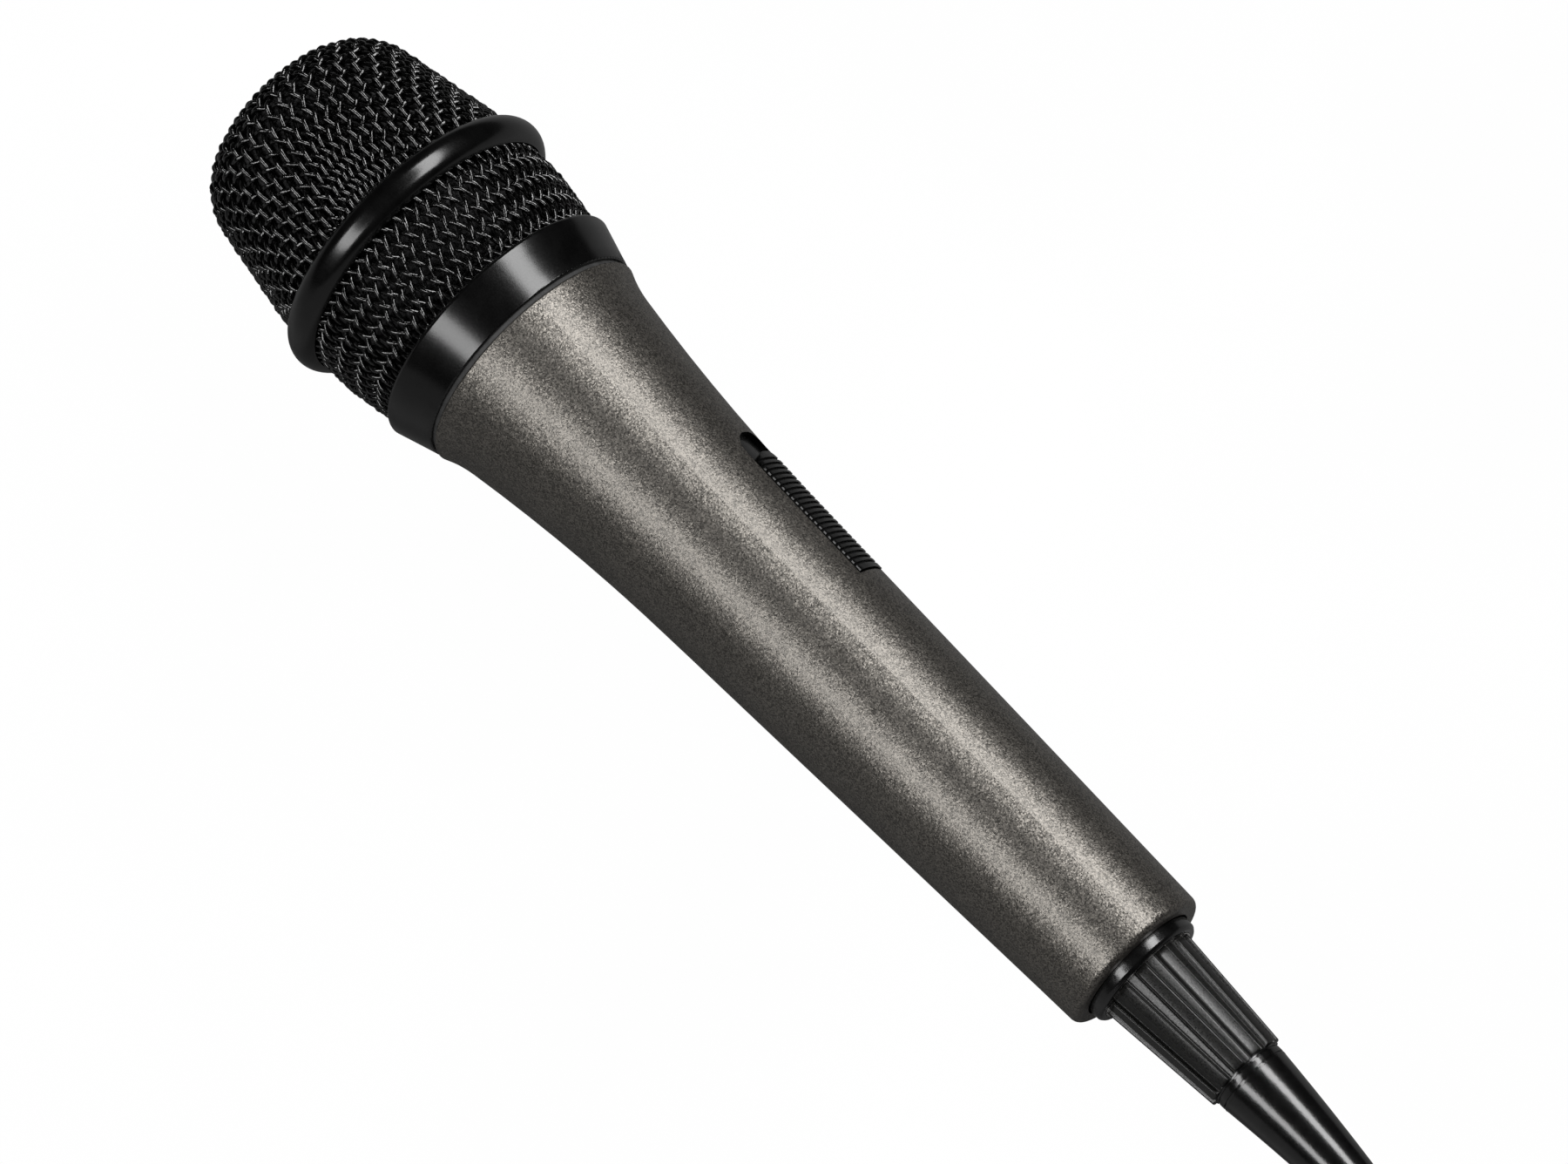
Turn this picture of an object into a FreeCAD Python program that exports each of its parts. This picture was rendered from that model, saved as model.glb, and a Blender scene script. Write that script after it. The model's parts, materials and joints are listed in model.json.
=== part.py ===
"""Hand-held dynamic vocal microphone with its detachable lead. Millimetres, +Z up.

The microphone lies on a flat surface at Z = 0 and touches it with the band of its grille and the
edge of its tail. Its axis runs along +X, tail to head, and rises towards the head by the angle
between those two circles. Its pieces are drawn about their own X axis, where a station is the
distance from the end face of the handle's tail, and are then laid down together. The lead leaves
the plug in the tail, is folded into a tied hank in line with it, and ends in a jack plug.
"""
import FreeCAD, Part
import math
import os
import Sketcher
from FreeCAD import Placement, Rotation, Vector

SIZES = {
    # the two circles that the microphone rests on, and where the frame's origin lies
    "tail_edge": 1.4, "tail_r": 13.9, "band_station": 175.2, "band_ring_r": 24.9, "band_tube_r": 3.2,
    "origin_station": 73.0,
    # handle
    "taper_end": 96.0, "taper_end_r": 16.75, "flare_station": 139.5, "flare_r": 20.65,
    "lip_station": 145.45, "lip_r": 22.42, "handle_length": 145.8, "lip_edge": 0.35,
    "handle_wall": 2.0, "recess_r": 11.1, "recess_depth": 2.2, "socket_r": 9.75, "socket_end": 23.5,
    "bore_start": 26.0, "bore_start_r": 12.6, "neck_socket_r": 17.0, "neck_start": 129.6,
    # threaded neck and the ring that seals the head's joint
    "neck_end": 154.0, "mount_seat": 148.0, "thread_r": 19.9, "thread_depth": 0.6, "thread_pitch": 1.25,
    "thread_start": 147.4, "thread_rise": 0.5, "thread_crest": 0.25, "thread_fall": 0.45,
    "neck_bore_r": 15.6, "mount_bore_r": 18.0,
    "gasket_inner_r": 20.3, "gasket_outer_r": 21.9, "gasket_width": 0.8,
    # head: collar, two woven shells, band and foam
    "collar_rear": 146.6, "collar_rear_r": 22.6, "collar_lip": 154.4, "collar_lip_r": 24.86,
    "collar_front": 155.3, "collar_seat_r": 24.15, "collar_seat": 153.0, "collar_bore_r": 20.2,
    "collar_edge": 0.3, "collar_edge_bend": 0.35, "collar_lip_bend": 0.95,
    "skirt_rise": 156.0, "skirt_rear_r": 24.0, "skirt_top": 171.8, "skirt_top_r": 25.75,
    "skirt_end": 174.6, "skirt_bulge": 55.0, "weave": 1.7,
    "dome_start": 175.8, "dome_r": 25.55, "dome_bend": 178.08, "dome_bend_r": 35.0,
    "dome_taper": 9.65, "shoulder_station": 198.547, "shoulder_offset": 10.4, "shoulder_r": 12.0,
    "crown_station": 162.0, "crown_r": 50.0, "foam_gap": 0.2, "foam_thickness": 3.5,
    "foam_start": 157.0, "foam_start_r": 22.2,
    # capsule, from its rear to its front
    "mount_front": 155.6, "mount_lip": 1.1, "capsule_r": 15.1, "capsule_wall": 1.2, "capsule_rear": 148.0,
    "capsule_floor": 149.5, "capsule_front": 171.0, "cap_face": 172.6,
    "yoke_r": 11.0, "yoke_inner_r": 9.5, "yoke_rear": 152.5, "yoke_floor": 154.7, "yoke_front": 164.0,
    "magnet_r": 7.6, "magnet_front": 161.2, "pole_r": 8.5, "coil_inner_r": 8.85, "coil_outer_r": 9.15,
    "coil_rear": 160.6, "diaphragm_station": 165.6, "diaphragm_r": 12.6, "diaphragm_skin": 0.3,
    "diaphragm_tip": 168.0, "frame_rear": 160.5, "frame_front": 163.5, "ring_inner_r": 12.9,
    "ring_front": 166.8, "screen_skin": 0.5,
    # switch: its slot in the handle and what lies under it
    "switch_roll": 52.4, "slot_rear": 76.9, "slot_front": 109.0, "slot_width": 9.4, "slot_corner": 3.8,
    "slider_travel": 4.4, "slider_gap": 0.3, "slider_rise": 0.25, "slider_skin": 1.1,
    "rib_first": 1.35, "rib_pitch": 1.15, "rib_groove": 0.55, "rib_depth": 0.55,
    "under_rear": 70.0, "under_front": 112.0, "under_swell": 0.3,
    "carrier_recess": 1.15, "carrier_depth": 2.6, "ledge_rear": 74.5, "ledge_front": 111.5,
    "ledge_half": 6.0, "ledge_low": 11.5, "ledge_high": 12.7, "riser_rear": 80.0, "riser_front": 104.5,
    "riser_half": 3.4, "riser_high": 13.9, "slit_gap": 0.4, "slit_half": 1.4,
    "lever_rear": 88.5, "lever_front": 91.5, "lever_half": 1.0, "lever_low": 7.6, "lever_high": 15.35,
    "contact_low": 7.2, "contact_half": 1.8, "contact_reach": 0.9,
    "plate_rear": 78.0, "plate_front": 110.0, "plate_half": 3.6, "plate_low": 10.7,
    "case_rear": 85.0, "case_front": 103.0, "case_half": 3.2, "case_low": 5.6, "case_wall": 1.6,
    "case_hollow_front": 98.0, "case_hollow_half": 2.3, "case_hollow_low": 6.8,
    "fixing_rear": 81.5, "fixing_front": 106.5, "fixing_r": 0.95, "fixing_head_r": 1.8,
    "fixing_head": 1.2, "fixing_length": 1.8, "fixing_clear_r": 1.1,
    "tab_low": 2.9, "tab_half": 0.6, "tab_skin": 0.5,
    # tail socket and the plug in it
    "insert_rear": 16.8, "insert_front": 22.8, "pin_r": 1.2, "pin_tip": 4.5, "pin_circle": 4.75,
    "cup_end": 28.5, "screw_station": 19.8, "screw_r": 1.3,
    "sleeve_front": 15.0, "sleeve_r": 9.4, "sleeve_bore_r": 8.5, "flange_r": 10.8,
    "flange_front": 1.2, "grip_front": -2.45, "grip_front_r": 8.3, "grip_rear": -25.0,
    "grip_rear_r": 6.75, "grip_bore_r": 5.5, "grip_mouth_r": 7.0, "grip_step": -6.0,
    "rib_front_r": 9.1, "rib_rear_r": 7.45, "rib_width": 2.0, "rib_foot": 0.3,
    "contact_r": 1.9, "contact_bore_r": 1.5, "contact_rear": -3.0, "contact_floor": 2.6,
    "plug_collar_rear": -27.3, "clamp_rear": -20.0, "clamp_front": -10.0,
    "plug_insert_front": 14.6, "plug_insert_rear": 1.5,
    "boot_r": 6.6, "boot_end_r": 3.0, "boot_length": 38.7, "boot_turn": 4.5,
    # lead, its hank and the jack plug on its far end
    "cord_r": 2.5, "hank_front": -190.0, "hank_rear": -226.0, "hank_y": 10.0, "hank_hole_r": 12.6,
    "hank_r": 30.9, "hank_base": 0.8, "hank_top": 20.7, "tie_skin": 0.8, "tie_width": 12.0,
    "jack_x": -200.0, "jack_y": 48.0, "jack_z": 6.6, "jack_boot": 22.0, "jack_boot_end_r": 3.2,
    "jack_boot_r": 4.9, "jack_handle": 26.0, "jack_handle_r": 6.5, "jack_groove": 4.0,
    "jack_sleeve_r": 3.175, "jack_sleeve": 24.0, "jack_flange": 1.6, "jack_flange_r": 4.6,
    "jack_band": 1.2, "jack_waist": 1.6, "jack_waist_r": 1.9, "jack_tip": 5.8, "jack_nose_r": 0.9,
}


class Size:
    """A length with the spreadsheet expression that gives it."""

    def __init__(self, value, text=None):
        self.value = float(value)
        self.text = text or f"{float(value):.6f}"

    @staticmethod
    def of(number):
        return number if isinstance(number, Size) else Size(number)

    def _with(self, sign, other, value):
        return Size(value, f"({self.text} {sign} {other.text})")

    def __add__(self, other):
        other = Size.of(other)
        return self._with("+", other, self.value + other.value)

    def __sub__(self, other):
        other = Size.of(other)
        return self._with("-", other, self.value - other.value)

    def __mul__(self, other):
        other = Size.of(other)
        return self._with("*", other, self.value * other.value)

    def __truediv__(self, other):
        other = Size.of(other)
        return self._with("/", other, self.value / other.value)

    def __neg__(self):
        return Size(-self.value, f"(0 - {self.text})")

    __radd__ = __add__
    __rmul__ = __mul__

    def __rsub__(self, other):
        return Size.of(other) - self


class Sheet:
    """The spreadsheet's cells, each read by its alias as a Size."""

    def __init__(self, document, values):
        self._values = values
        cells = document.addObject("Spreadsheet::Sheet", "Sizes")
        for row, (alias, value) in enumerate(values.items(), start=1):
            cells.set(f"A{row}", alias)
            cells.set(f"B{row}", str(value))
            cells.setAlias(f"B{row}", alias)

    def __getattr__(self, alias):
        return Size(self._values[alias], f"Sizes.{alias}")

    __getitem__ = __getattr__


doc = FreeCAD.newDocument("Microphone")
d = Sheet(doc, SIZES)
doc.recompute()
nodes = []


def lying_placement():
    """The microphone's own frame, laid on the band and the tail's edge, as a placement."""
    run = SIZES["band_station"] - SIZES["tail_edge"]
    tail_ring_r = SIZES["tail_r"] - SIZES["tail_edge"]
    rise = SIZES["band_ring_r"] - tail_ring_r
    angle = math.atan2(rise, run)
    angle += math.asin((SIZES["band_tube_r"] - SIZES["tail_edge"]) / math.hypot(run, rise))
    height = tail_ring_r * math.cos(angle) + SIZES["tail_edge"] * (1 - math.sin(angle))
    turn = Rotation(Vector(0, -1, 0), math.degrees(angle))
    return Placement(Vector(-SIZES["origin_station"] * math.cos(angle), 0, height), turn)


THREAD_TURNS = 5
GRIP_RIBS = 12
GRIP_TURN = 9.6                        # angle of the first rib round the axis
SLIDER_GROOVES = 22
SWITCH_TABS = (88.0, 94.0, 100.0)
WIRE_R = 0.55

LYING = lying_placement()
FLAT = Placement()
ROLLED = LYING.multiply(Placement(Vector(), Rotation(Vector(1, 0, 0), SIZES["switch_roll"])))


# ---------------------------------------------------------------- ways of making a piece

def arc_between(start, end, bend):
    """The minor arc from start to end: to the left of travel if bend is positive, else right."""
    chord = end - start
    radius = abs(bend)
    side = Vector(-chord.y, chord.x, 0).normalize()
    reach = math.sqrt(max(radius**2 - (chord.Length / 2)**2, 0.0))
    centre = start + chord * 0.5 + side * (reach if bend > 0 else -reach)
    first, last = (start, end) if bend > 0 else (end, start)
    angles = [math.atan2(p.y - centre.y, p.x - centre.x) for p in (first, last)]
    circle = Part.Circle(centre, Vector(0, 0, 1), radius)
    return Part.ArcOfCircle(circle, angles[0], angles[1])


def tangent_bend(start, slope, end):
    """The signed radius of the arc that leaves start at this slope and ends at end."""
    dx, dy = end[0].value - start[0].value, end[1].value - start[1].value
    turn = math.atan2(dy, dx) - slope
    return math.hypot(dx, dy) / (2 * math.sin(turn)), slope + 2 * turn


def outline_sketch(body, name, corners):
    """A closed outline in the body's XZ plane, every corner bound to the sheet.

    A corner is (station, radius) or (station, radius, bend): bend is the signed radius of an arc
    that leads to it from the corner before.
    """
    sketch = body.newObject("Sketcher::SketchObject", name)
    plane = [f for f in body.Origin.OriginFeatures if f.Role == "XZ_Plane"][0]
    sketch.AttachmentSupport = (plane, [""])
    sketch.MapMode = "FlatFace"
    corners = [tuple(Size.of(number) for number in corner) for corner in corners]
    points = [Vector(corner[0].value, corner[1].value, 0) for corner in corners]
    count = len(corners)
    ends = []
    for i in range(count):
        start, end = points[i], points[(i + 1) % count]
        bend = corners[(i + 1) % count][2:]
        if bend:
            sketch.addGeometry(arc_between(start, end, bend[0].value), False)
        else:
            sketch.addGeometry(Part.LineSegment(start, end), False)
        ends.append((2, 1) if bend and bend[0].value < 0 else (1, 2))
    for i in range(count):
        after = (i + 1) % count
        sketch.addConstraint(Sketcher.Constraint("Coincident", i, ends[i][1], after, ends[after][0]))
    for i in range(count):
        for kind, size, axis in (("DistanceX", corners[i][0], -2), ("DistanceY", corners[i][1], -1)):
            if size.value == 0:
                sketch.addConstraint(Sketcher.Constraint("PointOnObject", i, ends[i][0], axis))
                continue
            index = sketch.addConstraint(Sketcher.Constraint(kind, i, ends[i][0], size.value))
            sketch.setExpression(f"Constraints[{index}]", size.text)
        bend = corners[(i + 1) % count][2:]
        if bend:
            size = bend[0] if bend[0].value > 0 else -bend[0]
            index = sketch.addConstraint(Sketcher.Constraint("Radius", i, size.value))
            sketch.setExpression(f"Constraints[{index}]", size.text)
    return sketch


def turned(name, corners, placement=LYING):
    """A body turned about its X axis from the outline's corners."""
    body = doc.addObject("PartDesign::Body", name)
    sketch = outline_sketch(body, name + "_outline", corners)
    turning = body.newObject("PartDesign::Revolution", name + "_turning")
    turning.Profile = sketch
    turning.ReferenceAxis = (sketch, ["H_Axis"])
    turning.Angle = 360
    body.Placement = placement
    return body


def bind(item, **sizes):
    """Binds properties of a Part primitive to the sheet."""
    for key, size in sizes.items():
        item.setExpression(key, Size.of(size).text)
    return item


def box(name, low, high, placement=LYING):
    """A box between two corners, given as (x, y, z) of sizes."""
    item = doc.addObject("Part::Box", name)
    low = [Size.of(number) for number in low]
    high = [Size.of(number) for number in high]
    bind(item, Length=high[0] - low[0], Width=high[1] - low[1], Height=high[2] - low[2])
    corner = Placement(Vector(*[size.value for size in low]), Rotation())
    item.Placement = placement.multiply(corner)
    return item


def rod(name, start, length, radius, axis=Vector(1, 0, 0), placement=LYING):
    """A round rod from start along axis."""
    item = doc.addObject("Part::Cylinder", name)
    bind(item, Radius=radius, Height=length)
    start = Vector(*[Size.of(number).value for number in start])
    item.Placement = placement.multiply(Placement(start, Rotation(Vector(0, 0, 1), axis)))
    return item


def joined(name, items, kind="Part::MultiFuse"):
    """Several items in one: fused, or kept apart with kind Part::Compound."""
    item = doc.addObject(kind, name)
    if kind == "Part::Compound":
        item.Links = items
    else:
        item.Shapes = items
    return item


def less(name, base, tools):
    """The base with the tools cut out of it."""
    item = doc.addObject("Part::Cut", name)
    item.Base = base
    item.Tool = tools[0] if len(tools) == 1 else joined(name + "_tools", tools)
    return item


def common(name, first, second):
    """What two items share."""
    item = doc.addObject("Part::Common", name)
    item.Base = first
    item.Tool = second
    return item


def node(item, label):
    """Takes an item as a finished piece with this label."""
    item.Label = label
    nodes.append(item)
    return item


def turned_node(label, corners, placement=LYING):
    return node(turned(label, corners, placement), label)


def polar(radius, angle):
    """The y and z of a place round the microphone's axis; angle 0 is up."""
    radians = math.radians(angle)
    return -radius * math.sin(radians), radius * math.cos(radians)


def tube(points, radius):
    """A round tube along straight runs joined by tangent arcs, as large as the runs allow."""
    edges = []
    radii = []
    runs = [(b - a).Length for a, b in zip(points, points[1:])]
    leave = points[0]
    for i in range(1, len(points) - 1):
        before = (points[i] - points[i - 1]).normalize()
        after = (points[i + 1] - points[i]).normalize()
        half = before.getAngle(after) / 2
        back = 0.45 * min(runs[i - 1], runs[i])
        bisector = (after - before).normalize()
        bend = back / math.tan(half)
        middle = points[i] + bisector * (bend / math.cos(half) - bend)
        first, last = points[i] - before * back, points[i] + after * back
        edges.append(Part.LineSegment(leave, first).toShape())
        edges.append(Part.Arc(first, middle, last).toShape())
        radii.append(bend)
        leave = last
    edges.append(Part.LineSegment(leave, points[-1]).toShape())
    path = Part.Wire(edges)
    start = Part.Circle(points[0], points[1] - points[0], radius).toShape()
    solid = path.makePipeShell([Part.Wire([start])], True, False)
    ratio = solid.Volume / (math.pi * radius**2 * path.Length)
    print(f"  tube: length {path.Length:.1f}, least bend {min(radii):.1f}, volume ratio {ratio:.4f}")
    return solid, path.Length


def shaped(label, shape, placement=None):
    """A piece whose shape is set here, because no sketch or primitive fits it."""
    item = doc.addObject("Part::Feature", label)
    item.Shape = shape
    if placement:
        item.Placement = placement
    return node(item, label)


# ---------------------------------------------------------------- handle

def handle_outline():
    """The handle's outer line from its tail edge to its mouth, with the flare as two arcs."""
    tail, taper = (d.tail_edge, d.tail_r), (d.taper_end, d.taper_end_r)
    flare, lip = (d.flare_station, d.flare_r), (d.lip_station, d.lip_r)
    slope = math.atan2(SIZES["taper_end_r"] - SIZES["tail_r"], SIZES["taper_end"] - SIZES["tail_edge"])
    first_bend, slope = tangent_bend(taper, slope, flare)
    second_bend, slope = tangent_bend(flare, slope, lip)
    return [
        (0, d.tail_r - d.tail_edge),
        (*tail, -d.tail_edge),
        taper,
        (*flare, first_bend),
        (*lip, second_bend),
        (d.handle_length, d.lip_r - d.lip_edge, -d.lip_edge),
    ]


def slot_plan(name, gap, short=0.0):
    """The switch's slot as a block through the wall, smaller all round by gap, and shortened."""
    half = d.slot_width / 2 - gap
    corner = d.slot_corner - gap
    front = d.slot_front - d.slot_corner - short
    low, high = 8.0, 20.0
    full = box(name + "_full", (d.slot_rear + gap, -half, low), (front, half, high), ROLLED)
    nose = box(name + "_nose", (front, -(half - corner), low), (front + corner, half - corner, high),
               ROLLED)
    rounds = []
    for side in (-1, 1):
        start = (front, side * (half - corner), low)
        rounds.append(rod(f"{name}_round_{side + 1}", start, high - low, corner, Vector(0, 0, 1), ROLLED))
    return joined(name, [full, nose] + rounds)


def surface_band(name, outer, inner):
    """A ring under the handle's surface at the switch, between two depths (negative is proud)."""
    slope = (d.taper_end_r - d.tail_r) / (d.taper_end - d.tail_edge)
    rear_r = d.tail_r + slope * (d.under_rear - d.tail_edge)
    front_r = d.taper_end_r + slope * (d.under_front - d.taper_end) + d.under_swell
    return turned(name, [
        (d.under_rear, rear_r - inner), (d.under_rear, rear_r - outer),
        (d.taper_end, d.taper_end_r - outer), (d.under_front, front_r - outer),
        (d.under_front, front_r - inner), (d.taper_end, d.taper_end_r - inner),
    ])


def handle():
    """The shell: tapered tube with a flared mouth, a tail socket and the switch's slot."""
    blank = turned("handle_blank", handle_outline() + [
        (d.handle_length, d.neck_socket_r),
        (d.neck_start, d.neck_socket_r),
        (d.neck_start, d.neck_bore_r),
        (d.taper_end, d.taper_end_r - d.handle_wall),
        (d.bore_start, d.bore_start_r),
        (d.socket_end, d.socket_r),
        (d.recess_depth, d.socket_r),
        (d.recess_depth, d.recess_r),
        (0, d.recess_r),
    ])
    slot = slot_plan("handle_slot", 0.0)
    screw_hole = rod("screw_hole", (d.screw_station, 0, -16.0), 8.0, d.screw_r, Vector(0, 0, 1))
    node(less("handle", blank, [slot, screw_hole]), "handle_shell")


def neck():
    """The sleeve pressed into the handle's mouth, with the thread that takes the head."""
    root_r = d.thread_r - d.thread_depth
    corners = [(d.neck_start, d.neck_bore_r), (d.neck_start, d.neck_socket_r),
               (d.handle_length, d.neck_socket_r), (d.handle_length, root_r)]
    for turn in range(THREAD_TURNS):
        start = d.thread_start + d.thread_pitch * turn
        crest = start + d.thread_rise
        corners += [(start, root_r), (crest, d.thread_r), (crest + d.thread_crest, d.thread_r),
                    (crest + d.thread_crest + d.thread_fall, root_r)]
    corners += [(d.neck_end, root_r), (d.neck_end, d.mount_bore_r),
                (d.mount_seat, d.mount_bore_r), (d.mount_seat, d.neck_bore_r)]
    turned_node("neck_insert", corners)
    gasket_front = d.handle_length + d.gasket_width
    turned_node("collar_gasket", [
        (d.handle_length, d.gasket_inner_r), (d.handle_length, d.gasket_outer_r),
        (gasket_front, d.gasket_outer_r), (gasket_front, d.gasket_inner_r)])


# ---------------------------------------------------------------- head

def dome_outline(depth, start, rim=None):
    """The dome's line from its rim to its tip, moved inwards by depth."""
    angle = math.radians(SIZES["dome_taper"])
    across = SIZES["shoulder_station"] - SIZES["crown_station"]
    crown_angle = math.atan2(SIZES["shoulder_offset"], across)
    bend_r = d.dome_bend_r - depth
    shoulder_r = d.shoulder_r - depth
    crown_r = d.crown_r - depth
    bend_centre_r = d.dome_r - d.dome_bend_r
    return [
        rim or (start, d.dome_r - depth),
        (d.dome_bend, d.dome_r - depth),
        (d.dome_bend + bend_r * math.sin(angle), bend_centre_r + bend_r * math.cos(angle), -bend_r),
        (d.shoulder_station + shoulder_r * math.sin(angle),
         d.shoulder_offset + shoulder_r * math.cos(angle)),
        (d.shoulder_station + shoulder_r * math.cos(crown_angle),
         d.shoulder_offset + shoulder_r * math.sin(crown_angle), -shoulder_r),
        (d.crown_station + crown_r, 0, -crown_r),
    ]


def reversed_outline(corners):
    """The same line walked the other way, with its arcs turned about."""
    back = []
    for i in range(len(corners) - 1, -1, -1):
        after = corners[i + 1] if i + 1 < len(corners) else ()
        back.append(tuple(corners[i][:2]) + ((-Size.of(after[2]),) if len(after) == 3 else ()))
    return back


def dome_shell(name, outer, inner, start, rims=(None, None)):
    outside = dome_outline(outer, start, rims[0])
    inside = dome_outline(inner, start, rims[1])
    return turned(name, outside + reversed_outline(inside))


def head():
    """Collar, skirt, band, dome and foam, which unscrew from the neck in one piece."""
    turned_node("grille_collar", [
        (d.collar_rear, d.collar_bore_r), (d.collar_rear, d.collar_rear_r - d.collar_edge),
        (d.collar_rear + d.collar_edge, d.collar_rear_r, -d.collar_edge_bend),
        (d.collar_lip, d.collar_lip_r), (d.collar_front, d.collar_seat_r, -d.collar_lip_bend),
        (d.collar_seat, d.collar_seat_r), (d.collar_seat, d.collar_bore_r)])
    outside = [
        (d.collar_seat, d.skirt_rear_r), (d.skirt_rise, d.skirt_rear_r),
        (d.skirt_top, d.skirt_top_r, -d.skirt_bulge), (d.skirt_end, d.skirt_top_r)]
    inside = [
        (d.collar_seat, d.skirt_rear_r - d.weave), (d.skirt_rise, d.skirt_rear_r - d.weave),
        (d.skirt_top, d.skirt_top_r - d.weave, -d.skirt_bulge), (d.skirt_end, d.skirt_top_r - d.weave)]
    skirt = turned_node("grille_skirt", outside + reversed_outline(inside))
    dome = node(dome_shell("dome", 0.0, d.weave, d.dome_start), "grille_dome")
    ring = doc.addObject("Part::Torus", "band_ring")
    bind(ring, Radius1=d.band_ring_r, Radius2=d.band_tube_r)
    upright = Rotation(Vector(0, 0, 1), Vector(1, 0, 0))
    ring.Placement = LYING.multiply(Placement(Vector(SIZES["band_station"], 0, 0), upright))
    bore = rod("band_bore", (d.band_station - 6, 0, 0), 12.0, d.dome_r - d.weave)
    node(less("band", ring, [skirt, dome, bore]), "grille_band")
    outer = d.weave + d.foam_gap
    inner = outer + d.foam_thickness
    rims = ((d.foam_start, d.foam_start_r), (d.foam_start, d.foam_start_r - d.foam_thickness))
    node(dome_shell("foam", outer, inner, d.foam_start, rims), "foam_windscreen")


# ---------------------------------------------------------------- capsule

def holes(name, start, length, radius, circle, count, first=0.0):
    """A ring of holes along the microphone's axis."""
    made = []
    for i in range(count):
        y, z = polar(circle, first + 360.0 * i / count)
        made.append(rod(f"{name}_{i}", (start, y, z), length, radius))
    return made


def capsule():
    """The moving-coil capsule in its rubber mount, from its rear to its front."""
    turned_node("shock_mount", [
        (d.mount_seat, d.capsule_r), (d.mount_seat, d.mount_bore_r),
        (d.neck_end, d.mount_bore_r), (d.neck_end, d.mount_bore_r + d.mount_lip),
        (d.mount_front, d.mount_bore_r + d.mount_lip), (d.mount_front, d.capsule_r)])
    bore_r = d.capsule_r - d.capsule_wall
    cup = turned("housing_cup", [
        (d.capsule_rear, 0), (d.capsule_rear, d.capsule_r), (d.capsule_front, d.capsule_r),
        (d.capsule_front, bore_r), (d.capsule_floor, bore_r), (d.capsule_floor, 0)])
    vents = holes("housing_vent", d.capsule_rear - 1, 4.0, 1.2, 10.0, 6, 30.0)
    node(less("housing", cup, vents), "capsule_housing")
    turned_node("capsule_yoke", [
        (d.yoke_rear, 0), (d.yoke_rear, d.yoke_r), (d.yoke_front, d.yoke_r),
        (d.yoke_front, d.yoke_inner_r), (d.yoke_floor, d.yoke_inner_r), (d.yoke_floor, 0)])
    for label, rear, front, radius in (
            ("capsule_magnet", d.yoke_floor, d.magnet_front, d.magnet_r),
            ("capsule_pole", d.magnet_front, d.yoke_front, d.pole_r)):
        turned_node(label, [(rear, 0), (rear, radius), (front, radius), (front, 0)])
    ring = turned("frame_ring", [
        (d.frame_rear, d.yoke_r), (d.frame_rear, bore_r), (d.frame_front, bore_r),
        (d.frame_front, d.yoke_r)])
    node(less("frame", ring, holes("frame_vent", d.frame_rear - 1, 5.0, 0.8, 12.45, 8)), "capsule_frame")
    turned_node("voice_coil", [
        (d.coil_rear, d.coil_inner_r), (d.coil_rear, d.coil_outer_r),
        (d.diaphragm_station, d.coil_outer_r), (d.diaphragm_station, d.coil_inner_r)])
    skin = d.diaphragm_skin
    centre_r = 22.0
    turned_node("diaphragm", [
        (d.diaphragm_station, d.coil_outer_r),
        (d.diaphragm_station, d.diaphragm_r, -4.0), (d.diaphragm_station + skin, d.diaphragm_r),
        (d.diaphragm_station + skin, d.coil_outer_r, 4.0),
        (d.diaphragm_tip, 0, -centre_r), (d.diaphragm_tip - skin, 0),
        (d.diaphragm_station, d.coil_inner_r, centre_r)])
    turned_node("diaphragm_ring", [
        (d.frame_front, d.ring_inner_r), (d.frame_front, bore_r), (d.ring_front, bore_r),
        (d.ring_front, d.ring_inner_r)])
    cap = turned("cap_blank", [
        (d.ring_front, d.ring_inner_r), (d.ring_front, bore_r), (d.capsule_front, bore_r),
        (d.capsule_front, d.capsule_r), (d.cap_face - 0.4, d.capsule_r),
        (d.cap_face, d.capsule_r - 0.4), (d.cap_face, 0), (d.capsule_front, 0),
        (d.capsule_front, d.ring_inner_r)])
    ports = holes("cap_port", d.capsule_front - 1, 4.0, 1.2, 9.0, 12)
    ports += holes("cap_inner_port", d.capsule_front - 1, 4.0, 1.2, 4.8, 6)
    ports += holes("cap_centre_port", d.capsule_front - 1, 4.0, 1.2, 0.0, 1)
    node(less("cap", cap, ports), "capsule_cap")
    screen_rear = d.capsule_front - d.screen_skin
    turned_node("capsule_screen", [
        (screen_rear, 0), (screen_rear, d.ring_inner_r), (d.capsule_front, d.ring_inner_r),
        (d.capsule_front, 0)])
    tabs = []
    for side in (-1, 1):
        low = (145.5, 5.0 * side - 1.0, -0.3)
        high = (d.capsule_rear, 5.0 * side + 1.0, 0.3)
        tabs.append(box(f"capsule_tab_{side + 1}", low, high, ROLLED))
    node(joined("tabs", tabs, "Part::Compound"), "capsule_terminals")


# ---------------------------------------------------------------- switch

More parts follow.
